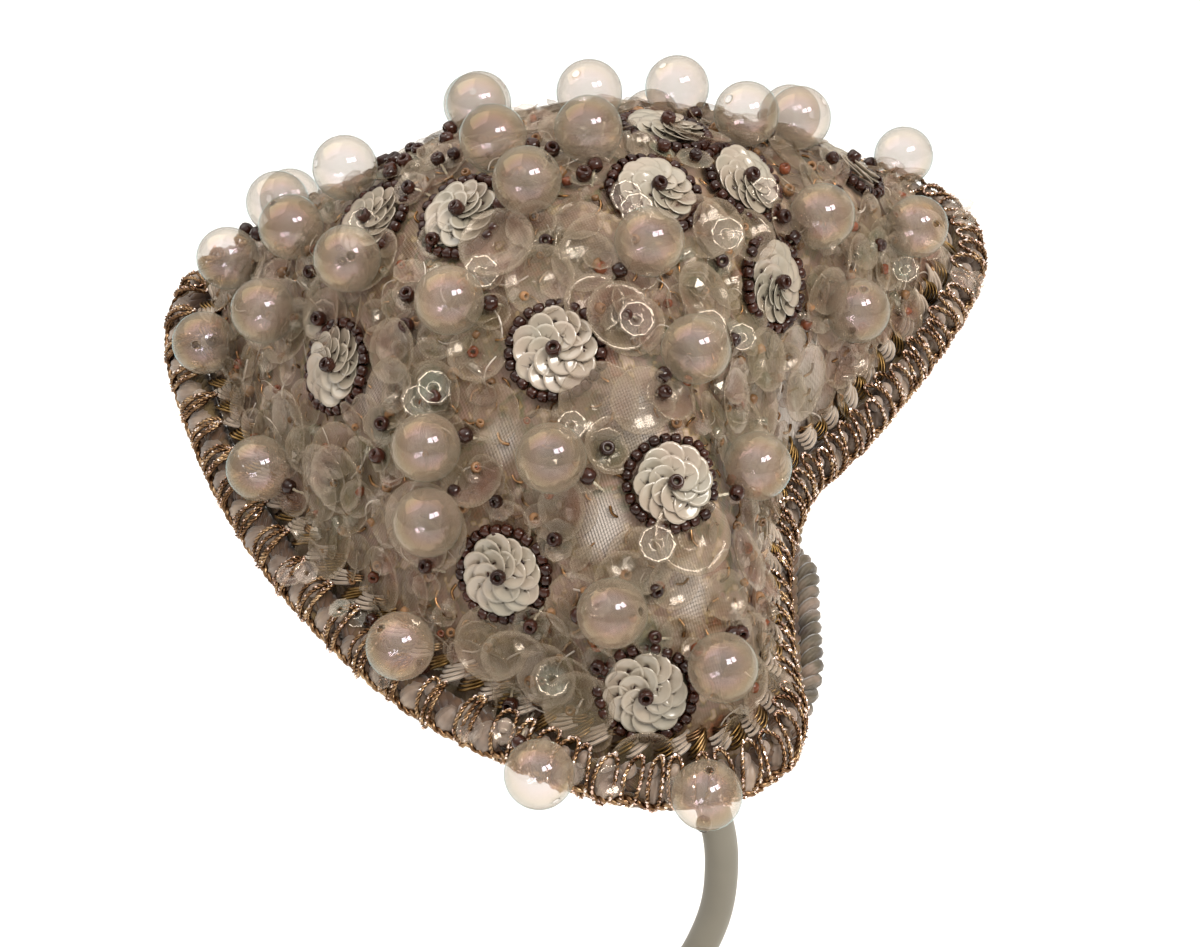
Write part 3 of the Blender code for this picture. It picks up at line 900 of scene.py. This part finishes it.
class JULIET_OT_braid(CapOperator, bpy.types.Operator):
    """Makes the rim braid: floss puffs wrapped with metallic yarn"""

    bl_idname = "juliet.braid"
    bl_label = "Rim braid"

    def execute(self, context):
        settings = context.scene.juliet_cap
        rng = self.rng
        rim = Rim(512)
        pitch = rim.length / BRAID_PUFFS
        floss = rayon_floss("rayon floss", (linear("#5c4b3e"), settings.floss, linear("#96826f")),
                            0.45, 11.0)
        pale = rayon_floss("pale floss", (linear("#94806c"), linear("#b09c88"), linear("#cbbba9")),
                           0.42, 4.0)
        copper = metallic_yarn("copper yarn", (linear("#493220"), settings.copper,
                                               linear("#ab8f6e")), 0.3)
        gold = metallic_yarn("gold yarn", (linear("#3b2a16"), linear("#6e5632"),
                                           linear("#8f7452")), 0.32)
        brown = rayon_floss("brown rayon", (linear("#3a2516"), linear("#5a402b"),
                                            linear("#6b5733")), 0.6, 3.0)
        plied = plied_tree()

        # Core rope that fills the gaps
        core = [rim.at(step / 480, -0.3, 0.0)[0] for step in range(480)]
        obj = grown("braid_core", lines_mesh([core], True), plied,
                    {"Finish": brown, "Plies": 6, "Ply radius": 0.0011, "Twist radius": 0.0015,
                     "Pitch": 0.011, "Step": 0.0022, "Sides": 6})
        finish_piece(obj, "braid_thread", "rim_braid")
        backing = []
        for step in range(400):
            shows = cord_shows(rim.at(step / 400)[0])
            backing.append(rim.round_oval(step / 400, math.radians(48), CORD_STANDS_OUT * shows - 0.95))
        obj = grown("braid_backing", lines_mesh([backing], True), plied,
                    {"Finish": brown, "Plies": 3, "Ply radius": 0.0008, "Twist radius": 0.0008,
                     "Pitch": 0.007, "Step": 0.0015, "Sides": 6})
        finish_piece(obj, "braid_thread")

        # Puffs: the large ones outside, the small ones between them inside
        shapes = {}
        for name, (wide, tall, thick) in PUFFS.items():
            strands = 12 if name == "large" else 8
            puff = bmesh.new()
            bmesh.ops.create_uvsphere(puff, u_segments=strands * 4, v_segments=8, radius=MM)
            for vert in puff.verts:
                ridge = math.cos(strands * math.atan2(vert.co.y, vert.co.x))
                vert.co.xy *= 1.0 + 0.05 * ridge
            ball = mesh_of(name, puff)
            ball.transform(Matrix.Diagonal((thick, wide, tall, 1.0)))
            shapes[name] = hidden_piece(ball)
        placed = placed_tree()
        for name, aside, climb, shift, lean in (("large", 0.95, -1.4, 0.0, 18),
                                                ("small", 1.9, 2.9, 0.46, 35)):
            places = []
            for i in range(BRAID_PUFFS * 2):
                # The small ones sit twice as close on the right, where more yarn shows
                share = (i / 2 + 0.5 + shift) / BRAID_PUFFS
                if i % 2 and (name == "large" or rim.at(share)[0].x < 14):
                    continue
                point, away, up, along = rim.at(share, aside + rng.uniform(-0.25, 0.25),
                                                climb + rng.uniform(-0.3, 0.3))
                slant = math.radians(lean + rng.uniform(-9, 9))
                facing = up * math.cos(slant) + along * math.sin(slant)
                places.append((point, facing, away, rng.uniform(0.9, 1.06)))
            obj = grown(f"{name}_puffs", places_mesh(places), placed,
                        {"Piece": shapes[name], "Finish": floss, "Lean": (0.06, 0.06, 0.2),
                         "Seed": 3})
            finish_piece(obj, "braid_thread")
        drop(*shapes.values())

        # Uneven loops of metallic yarn between the large puffs, closer on the right
        wraps = []
        for i in range(BRAID_PUFFS):
            middle = i + 1.0 + rng.uniform(-0.05, 0.05)
            loops = [(1.6, 0.0, 0.0), (1.05, 0.7, 0.35)]
            if rim.at(middle / BRAID_PUFFS)[0].x > 14:
                loops = [(1.7, 0.0, 0.0), (1.5, pitch * 0.5, 0.2)]
            for wide, shift, lift in loops:
                wobble = rng.uniform(-0.45, 0.45)
                start = rng.uniform(42, 54)
                span = rng.uniform(112, 136)
                lean = rng.uniform(0.4, 2.6)
                lift += rng.uniform(-0.1, 0.2)
                line = []
                for step in range(26):
                    turn = math.tau * step / 26
                    rise = (1 - math.cos(turn)) / 2
                    angle = math.radians(start + span * rise)
                    along = middle * pitch + shift + (wide + wobble) * math.sin(turn)
                    along += lean * (rise - 0.3)
                    bulge = lift + 0.25 + 0.45 * math.sin(math.pi * rise)
                    line.append(rim.round_oval(along / rim.length, angle, bulge))
                wraps.append(line)
        obj = grown("copper_wraps", lines_mesh(wraps, True), plied,
                    {"Finish": copper, "Plies": 2, "Ply radius": 0.00027, "Twist radius": 0.00025,
                     "Pitch": 0.0021, "Step": 0.00042, "Sides": 4})
        finish_piece(obj, "braid_thread")

        # Thicker yarn drawn round the outside of each large puff
        edge = []
        for step in range(BRAID_PUFFS * 12):
            t = step / 12
            swing = abs(math.sin(math.pi * t))
            angle = math.radians(66 - 12 * swing)
            edge.append(rim.round_oval(t / BRAID_PUFFS, angle, -0.1 + 0.45 * swing ** 0.7))
        obj = grown("copper_edge", lines_mesh([edge], True), plied,
                    {"Finish": copper, "Plies": 2, "Ply radius": 0.00046, "Twist radius": 0.0004,
                     "Pitch": 0.0034, "Step": 0.0005, "Sides": 6})
        finish_piece(obj, "braid_thread")

        # Turns of foil that stand out of the metallic yarns and catch the light; their pale colour also
        # paints glints on them
        glints = []
        for line in wraps + [edge]:
            for a, b in zip(line, line[1:]):
                # Painted glints: closer and larger on the right, where the key light falls
                right = a.x > 14
                if rng.random() < (0.05 if right else 0.5):
                    continue
                share = rng.random()
                outer = (a - rim.near(a)).normalized()
                facing = (outer + across(outer, rng) * 0.8).normalized()
                glints.append((a.lerp(b, share) + outer * 0.45, facing, b - a,
                               rng.uniform(0.6, 1.3) * (1.3 if right else 1.0)))
        flake = faceted_mesh("fleck", 1.0)
        flake.transform(Matrix.Diagonal((0.36, 0.22, 0.18, 1.0)))
        flake = hidden_piece(flake)
        # Nearly white metal: painted glints that stay bright whatever the light
        foil = metallic_yarn("copper foil", (linear("#a8806a"), linear("#d9bfb0"),
                                             linear("#f2e4da")), 0.12)
        obj = grown("foil_turns", places_mesh(glints), placed,
                    {"Piece": flake, "Finish": foil, "Lean": (0.5, 0.5, 0.4), "Seed": 9})
        obj.data.shade_flat()
        finish_piece(obj, "braid_thread")
        drop(flake)

        # Floss and gold stitches that hold the braid to the cloth
        cloth = Cloth()
        for name, finish, shift, strands, spacing, length, radius, climb, rise in (
                ("floss_stitches", pale, 0.2, 4, 0.78, 4.8, 0.0004, 6.3, 2.8),
                ("gold_stitches", gold, 0.7, 4, 0.62, 4.2, 0.00031, 5.8, 2.8),
                ("copper_stitches", copper, 0.45, 3, 0.6, 3.8, 0.00026, 7.8, 1.0)):
            lines = []
            for i in range(BRAID_PUFFS):
                middle = i + shift + rng.uniform(-0.12, 0.12)
                reach = length * rng.uniform(0.8, 1.15)
                climbs = rise * rng.uniform(0.5, 1.3)
                point, _, up, along = rim.at(middle / BRAID_PUFFS, 0.0, climb)
                foot, normal = cloth.near(point)
                uphill = (up - normal * up.dot(normal)).normalized()
                for strand in range(strands):
                    beside = (strand - (strands - 1) / 2) * spacing
                    line = []
                    for step in range(9):
                        t = step / 8 - 0.5
                        hump = math.cos(math.pi * t) ** 0.5 if step % 8 else 0.0
                        climbed = climbs * t + beside
                        high = max(0.0, 6.8 - climb - climbed) * 0.8
                        line.append(foot + along * reach * t + uphill * climbed
                                    + normal * (0.2 + 1.5 * hump + high))
                    lines.append(line)
            obj = grown(name, lines_mesh(lines), plied,
                        {"Finish": finish, "Plies": 1, "Ply radius": radius, "Twist radius": 0.0,
                         "Pitch": 0.01, "Step": 0.0007, "Sides": 5})
            finish_piece(obj, "braid_thread")
        return {"FINISHED"}


class JULIET_OT_edge_cord(CapOperator, bpy.types.Operator):
    """Makes the twisted cord sewn under the braid"""

    bl_idname = "juliet.edge_cord"
    bl_label = "Edge cord"

    def execute(self, context):
        rim = Rim(512)
        line = []
        for step in range(400):
            shows = cord_shows(rim.at(step / 400)[0])
            angle = CORD_TUCK + (CORD_FRONT - CORD_TUCK) * shows
            # Sewn in until it touches the puffs, which don't fill the oval's foot
            clear = CORD_RADIUS + TOUCH - CORD_SEWN_IN + (CORD_STANDS_OUT + CORD_SEWN_IN) * shows**1.5
            line.append(rim.round_oval(step / 400, angle, clear))
        # The cord's dark brown is mostly painted shade, for the shadow it lies in under the braid's
        # front edge
        finish = rayon_floss("cord floss", (linear("#33251a"), linear("#4c4230"),
                                            linear("#766456")), 0.6, 6.0)
        obj = grown("twisted_cord", lines_mesh([line], True), plied_tree(),
                    {"Finish": finish, "Plies": 2, "Ply radius": 0.0013, "Twist radius": 0.0012,
                     "Pitch": 0.0058, "Step": 0.0006, "Sides": 8})
        finish_piece(obj, "cord_thread", "edge_cord")
        return {"FINISHED"}


def bead_places():
    """Middle and cloth normal of each bubble bead, in cap millimetres."""
    cloth = Cloth()
    found = []
    for number in range(1, 39):
        name = f"bubble_bead_{number:02d}"
        low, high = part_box(name)
        middle = in_cap((low + high) / 2)
        found.append((name, middle, cloth.near(middle)[1]))
    return found


def rosette_places():
    """Foot and cloth normal of each rosette, in cap millimetres."""
    cloth = Cloth()
    found = []
    for number in range(1, 16):
        name = f"rosette_{number:02d}"
        low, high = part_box(name)
        foot, normal = cloth.near(in_cap((low + high) / 2))
        found.append((name, foot, normal))
    return found


class JULIET_OT_bubble_beads(CapOperator, bpy.types.Operator):
    """Makes the bubble beads with their strings and the seed beads that stop them"""

    bl_idname = "juliet.bubble_beads"
    bl_label = "Bubble beads"

    def execute(self, context):
        settings = context.scene.juliet_cap
        rng = self.rng
        cloth = Cloth()
        radius = settings.bead_size / MM / 2
        stop_radius = settings.stopper_size / MM / 2
        free = []
        for x, y in STOPPERS:
            foot, normal = cloth.under(x, y)
            free.append((foot + normal * 3.2, normal))
        beads = []
        stops = []
        strings = []
        for name, middle, normal in bead_places():
            near = [s for s in free if (s[0] - middle).length < radius + 5.5]
            near.sort(key=lambda s: (s[0] - middle).length)
            if near:
                way = (near[0][0] - middle).normalized()
                free.remove(near[0])
            else:
                way = (across(normal, rng) - normal * rng.uniform(0.1, 0.7)).normalized()
            beads.append((middle, way, normal, 1.0))
            end = middle + way * (radius + stop_radius * 0.72)
            stops.append((end, way, normal, 1.0))
            strings.append(slack_thread(cloth, end, way + across(normal, rng) * 0.6, rng))
        cups = []
        for point, normal in free:
            lean = (normal + across(normal, rng) * 0.25).normalized()
            stops.append((point, lean, across(lean, rng), rng.uniform(0.85, 1.0)))
            cups.append((point - lean * 1.5, lean, across(lean, rng), rng.uniform(0.9, 1.35)))
            strings.append(slack_thread(cloth, point, across(normal, rng), rng))
        bubble = hidden_piece(bubble_mesh(radius, settings.bead_wall / MM, 0.75))
        stopper = hidden_piece(turned_mesh("stopper", ring_profile(stop_radius, 0.4, 2.4, 4), 12,
                                           True))
        sequin = hidden_piece(cup_mesh("stopper_sequin", 3.0, 0.5, 0.6, 0.16, 8, 0.12))
        placed = placed_tree()
        blown = clear_plastic("blown acrylic", (linear("#9a8471"), linear("#93826f"),
                                                linear("#8a7b6a")), 0.32, 0.85, 0.04, 2.5, 3.0, 400.0)
        obj = grown("bubble_beads", places_mesh(beads), placed,
                    {"Piece": bubble, "Finish": blown, "Seed": 1})
        finish_piece(obj, "bubble_bead", *[name for name, _, _ in bead_places()])
        brown = cast_glass("brown pressed glass", settings.seed)
        obj = grown("stopper_beads", places_mesh(stops), placed,
                    {"Piece": stopper, "Finish": brown, "Lean": (0.3, 0.3, 0.0),
                     "Least size": 0.92, "Most size": 1.06, "Seed": 2})
        finish_piece(obj, "sequin")
        clear = clear_plastic("clear sequin", (linear("#94786a"), linear("#8d8270"),
                                               linear("#7f826a")), 0.12, 0.6, 0.06, 2.2, 2.0)
        obj = grown("stopper_sequins", places_mesh(cups), placed,
                    {"Piece": sequin, "Finish": clear, "Seed": 8})
        finish_piece(obj, "sequin")
        drop(bubble, stopper, sequin)
        thread = rayon_floss("bead thread", (linear("#a08d6e"), linear("#c9bb9f"),
                                             linear("#ddd2bd")), 0.45, 3.0)
        obj = grown("bead_strings", lines_mesh(strings), plied_tree(),
                    {"Finish": thread, "Plies": 2, "Ply radius": 0.00018, "Twist radius": 0.00014,
                     "Pitch": 0.0016, "Step": 0.0005, "Sides": 4})
        finish_piece(obj, "cord_thread")
        return {"FINISHED"}


class JULIET_OT_rosettes(CapOperator, bpy.types.Operator):
    """Makes the rosettes: overlapping cup sequins inside a ring of seed beads"""

    bl_idname = "juliet.rosettes"
    bl_label = "Rosettes"

    def execute(self, context):
        settings = context.scene.juliet_cap
        rng = self.rng
        cloth = Cloth()
        sequin_radius = settings.sequin_size / MM / 2
        seed_radius = settings.seed_size / MM / 2
        sequins = []
        knots = []
        seeds = []
        for name, foot, normal in rosette_places():
            along = across(normal, rng)
            side = normal.cross(along)
            lift = rng.uniform(1.2, 1.6)
            reach = rng.uniform(4.5, 5.1)
            outer = settings.sequins_round
            for count, middle_reach, raised in ((outer, reach, 0.3), (outer // 2, reach * 0.5, 0.75)):
                for k in range(count):
                    angle = math.tau * (k + rng.uniform(-0.15, 0.15)) / count
                    ray = along * math.cos(angle) + side * math.sin(angle)
                    turn = normal.cross(ray)
                    middle = (foot + ray * (middle_reach + rng.uniform(-0.25, 0.25))
                              + normal * (lift + raised))
                    tip = normal + turn * rng.uniform(0.12, 0.26) + ray * rng.uniform(-0.1, 0.12)
                    tip.normalize()
                    sequins.append((middle, tip, ray, rng.uniform(0.94, 1.05)))
                    knots.append((middle + tip * 0.2, tip, turn, rng.uniform(0.8, 1.2)))
            stop = foot + normal * (lift + 2.2)
            seeds.append((stop, normal, along, settings.stopper_size / settings.seed_size))
            ring = reach + rng.uniform(3.2, 3.5)
            count = settings.seeds_round
            for k in range(count):
                angle = math.tau * (k + rng.uniform(-0.1, 0.1)) / count
                ray = along * math.cos(angle) + side * math.sin(angle)
                turn = normal.cross(ray)
                ground, up = cloth.near(foot + ray * (ring + rng.uniform(-0.18, 0.18)))
                seeds.append((ground + up * (1.5 + rng.uniform(-0.1, 0.35)), turn, up,
                              rng.uniform(0.92, 1.04) * ring / 8.2))
        cup = hidden_piece(cup_mesh("cup", sequin_radius, 0.34, 0.55, 0.14, 16))
        knot = turned_mesh("knot", [(0.0, 0.14), (0.3, 0.08), (0.4, -0.05), (0.0, -0.1)], 6)
        knot.transform(Matrix.Diagonal((1.5, 0.6, 1.0, 1.0)))
        knot = hidden_piece(knot)
        seed = hidden_piece(turned_mesh("seed", ring_profile(seed_radius, 0.35, 1.95, 4), 10, True))
        placed = placed_tree()
        ivory = pearly("pearl-coated sequin", (linear("#9a8b7c"), settings.sequin,
                                               linear("#8f8778")))
        obj = grown("rosette_sequins", places_mesh(sequins), placed,
                    {"Piece": cup, "Finish": ivory, "Lean": (0.06, 0.06, 0.5), "Seed": 4})
        finish_piece(obj, "sequin", *[name for name, _, _ in rosette_places()])
        brown = cast_glass("brown seed glass", settings.seed)
        obj = grown("sequin_knots", places_mesh(knots), placed, {"Piece": knot, "Finish": brown})
        finish_piece(obj, "sequin")
        obj = grown("rosette_seeds", places_mesh(seeds), placed,
                    {"Piece": seed, "Finish": brown, "Lean": (0.2, 0.2, 0.0), "Seed": 5})
        finish_piece(obj, "sequin")
        drop(cup, knot, seed)
        return {"FINISHED"}


class JULIET_OT_trimmings(CapOperator, bpy.types.Operator):
    """Strews clear paillettes, sequins, crystals and small beads over the cloth"""

    bl_idname = "juliet.trimmings"
    bl_label = "Trimmings"

    def execute(self, context):
        settings = context.scene.juliet_cap
        rng = self.rng
        cloth = Cloth()
        radius = settings.paillette_size / MM / 2
        acetate = clear_plastic("clear acetate", (linear("#8a6656"), settings.clear,
                                                  linear("#776a50")), 0.2, 0.5, 0.1, 1.9, 2.2)
        paillette = hidden_piece(cup_mesh("paillette", radius, 0.7, 1.7, 0.25, 16, 0.17))
        sequin = hidden_piece(cup_mesh("sequin", 2.7, 0.5, 0.5, 0.16, 8, 0.1))
        crystal = hidden_piece(faceted_mesh("crystal", 1.9))
        small = hidden_piece(turned_mesh("small", ring_profile(1.3, 0.4, 2.0, 3), 9, True))
        bugle = hidden_piece(turned_mesh("bugle", [(0.9, -2.6), (0.9, 2.6), (0.4, 2.6), (0.4, -2.6)],
                                         8, True))
        placed = placed_tree()
        strewn = strewn_tree()

        shown = []
        for x, y, size in PAILLETTES:
            foot, normal = cloth.under(x, y)
            lean = (normal + across(normal, rng) * rng.uniform(0.05, 0.35)).normalized()
            shown.append((foot + normal * rng.uniform(0.8, 1.8), lean, across(normal, rng),
                          size / (2 * radius)))
        obj = grown("clear_paillettes", places_mesh(shown), placed,
                    {"Piece": paillette, "Finish": acetate, "Seed": 6})
        finish_piece(obj, "bubble_bead")

        glints = []
        for x, y in CLEAR_SEQUINS:
            foot, normal = cloth.under(x, y)
            point = foot + normal * 3.4
            glints.append((point, glint_way(point), across(normal, rng), rng.uniform(0.9, 1.3)))
        # More of them lap over the braid along its lowest edge
        rim = Rim(512)
        for i in range(BRAID_PUFFS * 2):
            share = (i + rng.random()) / (BRAID_PUFFS * 2)
            point = rim.round_oval(share, math.radians(rng.uniform(95, 150)), rng.uniform(0.9, 1.7))
            if abs(point.y) < 56 or point.x < -45 or rng.random() < 0.68:
                continue
            away = (point - rim.near(point)).normalized()
            lean = (away + across(away, rng) * rng.uniform(0.1, 0.5)).normalized()
            glints.append((point, lean, across(away, rng), rng.uniform(0.8, 1.35)))
        bright = clear_plastic("bright clear acetate", (linear("#a0877c"), linear("#9c9080"),
                                                        linear("#8a9484")), 0.12, 0.6, 0.06, 3.2)
        obj = grown("clear_sequins", places_mesh(glints), placed,
                    {"Piece": sequin, "Finish": bright, "Seed": 7})
        finish_piece(obj, "bubble_bead")

        ground = bpy.data.objects["crown_cloth"].data.copy()
        kept = [(foot, normal, normal, 1.0) for _, foot, normal in rosette_places()]
        for x, y, reach in BARE:
            foot, normal = cloth.under(x, y)
            kept.append((foot + normal * (10.0 - reach * 0.5), normal, normal, 1.0))
        kept += [(rim.at(step / 120, 0.0, -3.0)[0], UP, UP, 1.0) for step in range(120)]
        keep = link_object("keep_clear", places_mesh(kept))
        keep.hide_render = True
        lined = cast_glass("gold-lined glass", linear("#755538"), 0.16)
        rust = cast_glass("rust-lined glass", linear("#683823"), 0.16)
        faceted = clear_plastic("cut crystal", (linear("#94786a"), linear("#8a7c6a"),
                                                linear("#7b7f69")), 0.2, 0.7, 0.05, 3.6)
        metal = metallic_yarn("metallic purl", (linear("#4a3018"), linear("#8a6540"),
                                                linear("#c79a70")), 0.25)
        white = rayon_floss("white floss", (linear("#8d7f6c"), linear("#b9ab9c"),
                                            linear("#d3c8bd")))
        purl = hidden_piece(bent_thread_mesh("purl", 1.3, 0.27))
        strand = hidden_piece(bent_thread_mesh("strand", 3.8, 0.17))
        for name, piece, finish, spacing, lift, lean, least, most, seed, clear in (
                ("strewn_paillettes", paillette, acetate, 7.6, 0.9, (0.3, 0.3, 3.1), 0.5, 1.05, 11, 9.6),
                ("strewn_sequins", sequin, acetate, 5.8, 1.8, (0.7, 0.7, 3.1), 0.8, 1.25, 12, 10.6),
                ("strewn_crystals", crystal, faceted, 8.0, 2.0, (3.1, 3.1, 3.1), 0.45, 1.0, 13, 10.2),
                ("strewn_bugles", bugle, faceted, 17.0, 1.7, (1.6, 0.2, 3.1), 0.8, 1.1, 14, 11.0),
                ("gold_beads", small, lined, 7.4, 1.3, (1.0, 1.0, 3.1), 0.55, 1.0, 15, 10.4),
                ("rust_beads", small, rust, 12.0, 1.5, (1.0, 1.0, 3.1), 0.55, 1.0, 16, 10.4),
                ("metal_purls", purl, metal, 3.3, 0.5, (0.25, 0.25, 3.1), 0.6, 1.3, 17, 8.6),
                ("floss_strands", strand, white, 8.0, 0.8, (0.25, 0.25, 3.1), 0.5, 1.1, 18, 10.8)):
            obj = grown(name, ground.copy(), strewn,
                        {"Piece": piece, "Finish": finish, "Spacing": spacing * MM,
                         "Lift": lift * MM, "Lean": lean, "Least size": least, "Most size": most,
                         "Seed": seed, "Clear of": keep, "Clearance": clear * MM})
            if piece is crystal:
                obj.data.shade_flat()
            finish_piece(obj, "bubble_bead")
        drop(keep, paillette, sequin, crystal, small, bugle, purl, strand)
        return {"FINISHED"}


class JULIET_OT_stand(CapOperator, bpy.types.Operator):
    """Makes the stand's stem, base and rest"""

    bl_idname = "juliet.stand"
    bl_label = "Stand"

    def execute(self, context):
        settings = context.scene.juliet_cap
        paint = satin_paint(settings.paint)
        line = [Vector(point) * MM for point in STEM_LINE]
        under = REST_TOP - REST_THICK  # the foot of the rest
        line += [in_world(Vector((0, 0, under - TOUCH - back))) for back in (14.0, 0.0)]
        stem = bpy.data.curves.new("stem", "CURVE")
        stem.dimensions = "3D"
        stem.bevel_depth = STEM_RADIUS * MM
        stem.bevel_resolution = 8
        stem.resolution_u = 14
        stem.use_fill_caps = True
        spline = stem.splines.new("BEZIER")
        spline.bezier_points.add(len(line) - 1)
        for knot, place in zip(spline.bezier_points, line):
            knot.co = place
            knot.handle_left_type = "AUTO"
            knot.handle_right_type = "AUTO"
        ends = ((spline.bezier_points[0], UP), (spline.bezier_points[-1], line[-1] - line[-2]))
        for knot, way in ends:
            knot.handle_left_type = "FREE"
            knot.handle_right_type = "FREE"
            knot.handle_left = knot.co - way.normalized() * 5 * MM
            knot.handle_right = knot.co + way.normalized() * 5 * MM
        seed = link_object("stem_seed", stem)
        graph = bpy.context.evaluated_depsgraph_get()
        mesh = bpy.data.meshes.new_from_object(seed.evaluated_get(graph), depsgraph=graph)
        drop(seed)
        mesh.shade_smooth()
        mesh.materials.clear()
        mesh.materials.append(paint)
        finish_piece(link_object("stand_stem_tube", mesh), "stand_paint", "stand_stem")

        corner = [(BASE_RADIUS - BASE_EDGE + BASE_EDGE * math.sin(math.radians(a)),
                   BASE_THICK - BASE_EDGE + BASE_EDGE * math.cos(math.radians(a)))
                  for a in range(0, 91, 15)]
        foot = [(BASE_RADIUS, 0.8), (BASE_RADIUS - 0.8, 0.0), (0.0, 0.0)]
        mesh = turned_mesh("stand_base_plate", [(0.0, BASE_THICK)] + corner + foot, 96)
        mesh.materials.append(paint)
        mesh.shade_smooth()
        mesh.set_sharp_from_angle(angle=math.radians(35))
        finish_piece(link_object("stand_base_plate", mesh), "stand_paint", "stand_base")

        top = REST_TOP
        mesh = turned_mesh("stand_rest_cap", [
            (0, top), (4, top - 0.2), (8, top - 0.95), (11.5, top - 2.1), (14, top - 3.3),
            (15, top - 4.3), (14.4, top - 5.2), (11, top - 6.2), (STEM_RADIUS + 1, under), (0, under)],
            48)
        mesh.transform(CAP)
        mesh.materials.append(paint)
        mesh.shade_smooth()
        finish_piece(link_object("stand_rest_cap", mesh), "stand_paint", "stand_rest")
        return {"FINISHED"}


class JULIET_OT_stage(CapOperator, bpy.types.Operator):
    """Sets the floor, the soft light and the camera"""

    bl_idname = "juliet.stage"
    bl_label = "Stage"

    def execute(self, context):
        scene = context.scene
        scene.view_settings.view_transform = "Standard"
        shape = bmesh.new()
        bmesh.ops.create_grid(shape, x_segments=1, y_segments=1, size=6.0)
        mesh = mesh_of("floor", shape)
        mesh.transform(Matrix.Translation((0, 0, -0.0002)))
        pale, _, _ = new_material("pale paper", linear("#f4f3f1"), 0.9)
        mesh.materials.append(pale)
        link_object("floor", mesh)

        world = bpy.data.worlds.new("studio")
        scene.world = world
        world.use_nodes = True
        backdrop = world.node_tree.nodes["Background"]
        # Even all round and brighter overhead, as under a white ceiling
        backdrop.inputs["Color"].default_value = (1.0, 0.985, 0.955, 1.0)
        sky = world.node_tree
        way = add_node(sky, "ShaderNodeTexCoord")
        parts = add_node(sky, "ShaderNodeSeparateXYZ", {"Vector": way.outputs["Generated"]})
        height = add_node(sky, "ShaderNodeMath", {0: parts.outputs["Z"], 1: 0.0},
                          operation="MAXIMUM")
        square = add_node(sky, "ShaderNodeMath", {0: height.outputs[0], 1: 2.0}, operation="POWER")
        light = add_node(sky, "ShaderNodeMath", {0: square.outputs[0], 1: 1.65, 2: 0.42},
                         operation="MULTIPLY_ADD")
        sky.links.new(light.outputs[0], backdrop.inputs["Strength"])

        # The key is a soft window in two panes, the fill a larger and weaker one
        aim = CAP_SEAT * MM
        key = Vector(KEY_AT)
        beside = (aim - key).cross(UP).normalized()
        for name, place, wide, tall, power in (
                ("key_left", key - beside * 0.17, 0.28, 0.3, 6.0),
                ("key_right", key + beside * 0.17, 0.28, 0.3, 6.0),
                ("fill", Vector((-0.6, 0.15, 1.0)), 0.9, 0.9, 4.5)):
            lamp = bpy.data.lights.new(name, "AREA")
            lamp.shape = "RECTANGLE"
            lamp.size = wide
            lamp.size_y = tall
            lamp.energy = power
            lamp.color = (1.0, 0.96, 0.9)
            obj = bpy.data.objects.new(name, lamp)
            obj.location = place
            obj.rotation_euler = (aim - place).to_track_quat("-Z", "Y").to_euler()
            scene.collection.objects.link(obj)

        camera = bpy.data.cameras.new("camera")
        camera.lens = LENS
        camera.sensor_width = 36.0
        camera.clip_start = 0.01
        obj = bpy.data.objects.new("camera", camera)
        obj.location = CAMERA_AT * MM
        obj.rotation_euler = (CAMERA_AIM - CAMERA_AT).to_track_quat("-Z", "Y").to_euler()
        scene.collection.objects.link(obj)
        scene.camera = obj
        return {"FINISHED"}


STEPS = (JULIET_OT_stage, JULIET_OT_crown, JULIET_OT_braid, JULIET_OT_edge_cord,
         JULIET_OT_bubble_beads, JULIET_OT_rosettes, JULIET_OT_trimmings, JULIET_OT_stand)


class JULIET_PT_panel(bpy.types.Panel):
    """Lists the cap's settings and steps"""

    bl_idname = "JULIET_PT_panel"
    bl_label = "Juliet cap"
    bl_space_type = "VIEW_3D"
    bl_region_type = "UI"
    bl_category = "Juliet cap"

    def draw(self, context):
        settings = context.scene.juliet_cap
        for name in JulietCapSettings.__annotations__:
            self.layout.prop(settings, name)
        for step in STEPS:
            self.layout.operator(step.bl_idname)


CLASSES = (JulietCapSettings, *STEPS, JULIET_PT_panel)


def register():
    for cls in CLASSES:
        bpy.utils.register_class(cls)
    bpy.types.Scene.juliet_cap = bpy.props.PointerProperty(type=JulietCapSettings)


def unregister():
    del bpy.types.Scene.juliet_cap
    for cls in reversed(CLASSES):
        bpy.utils.unregister_class(cls)


def main():
    register()
    for step in STEPS:
        group, name = step.bl_idname.split(".")
        getattr(getattr(bpy.ops, group), name)()


if __name__ == "__main__":
    main()
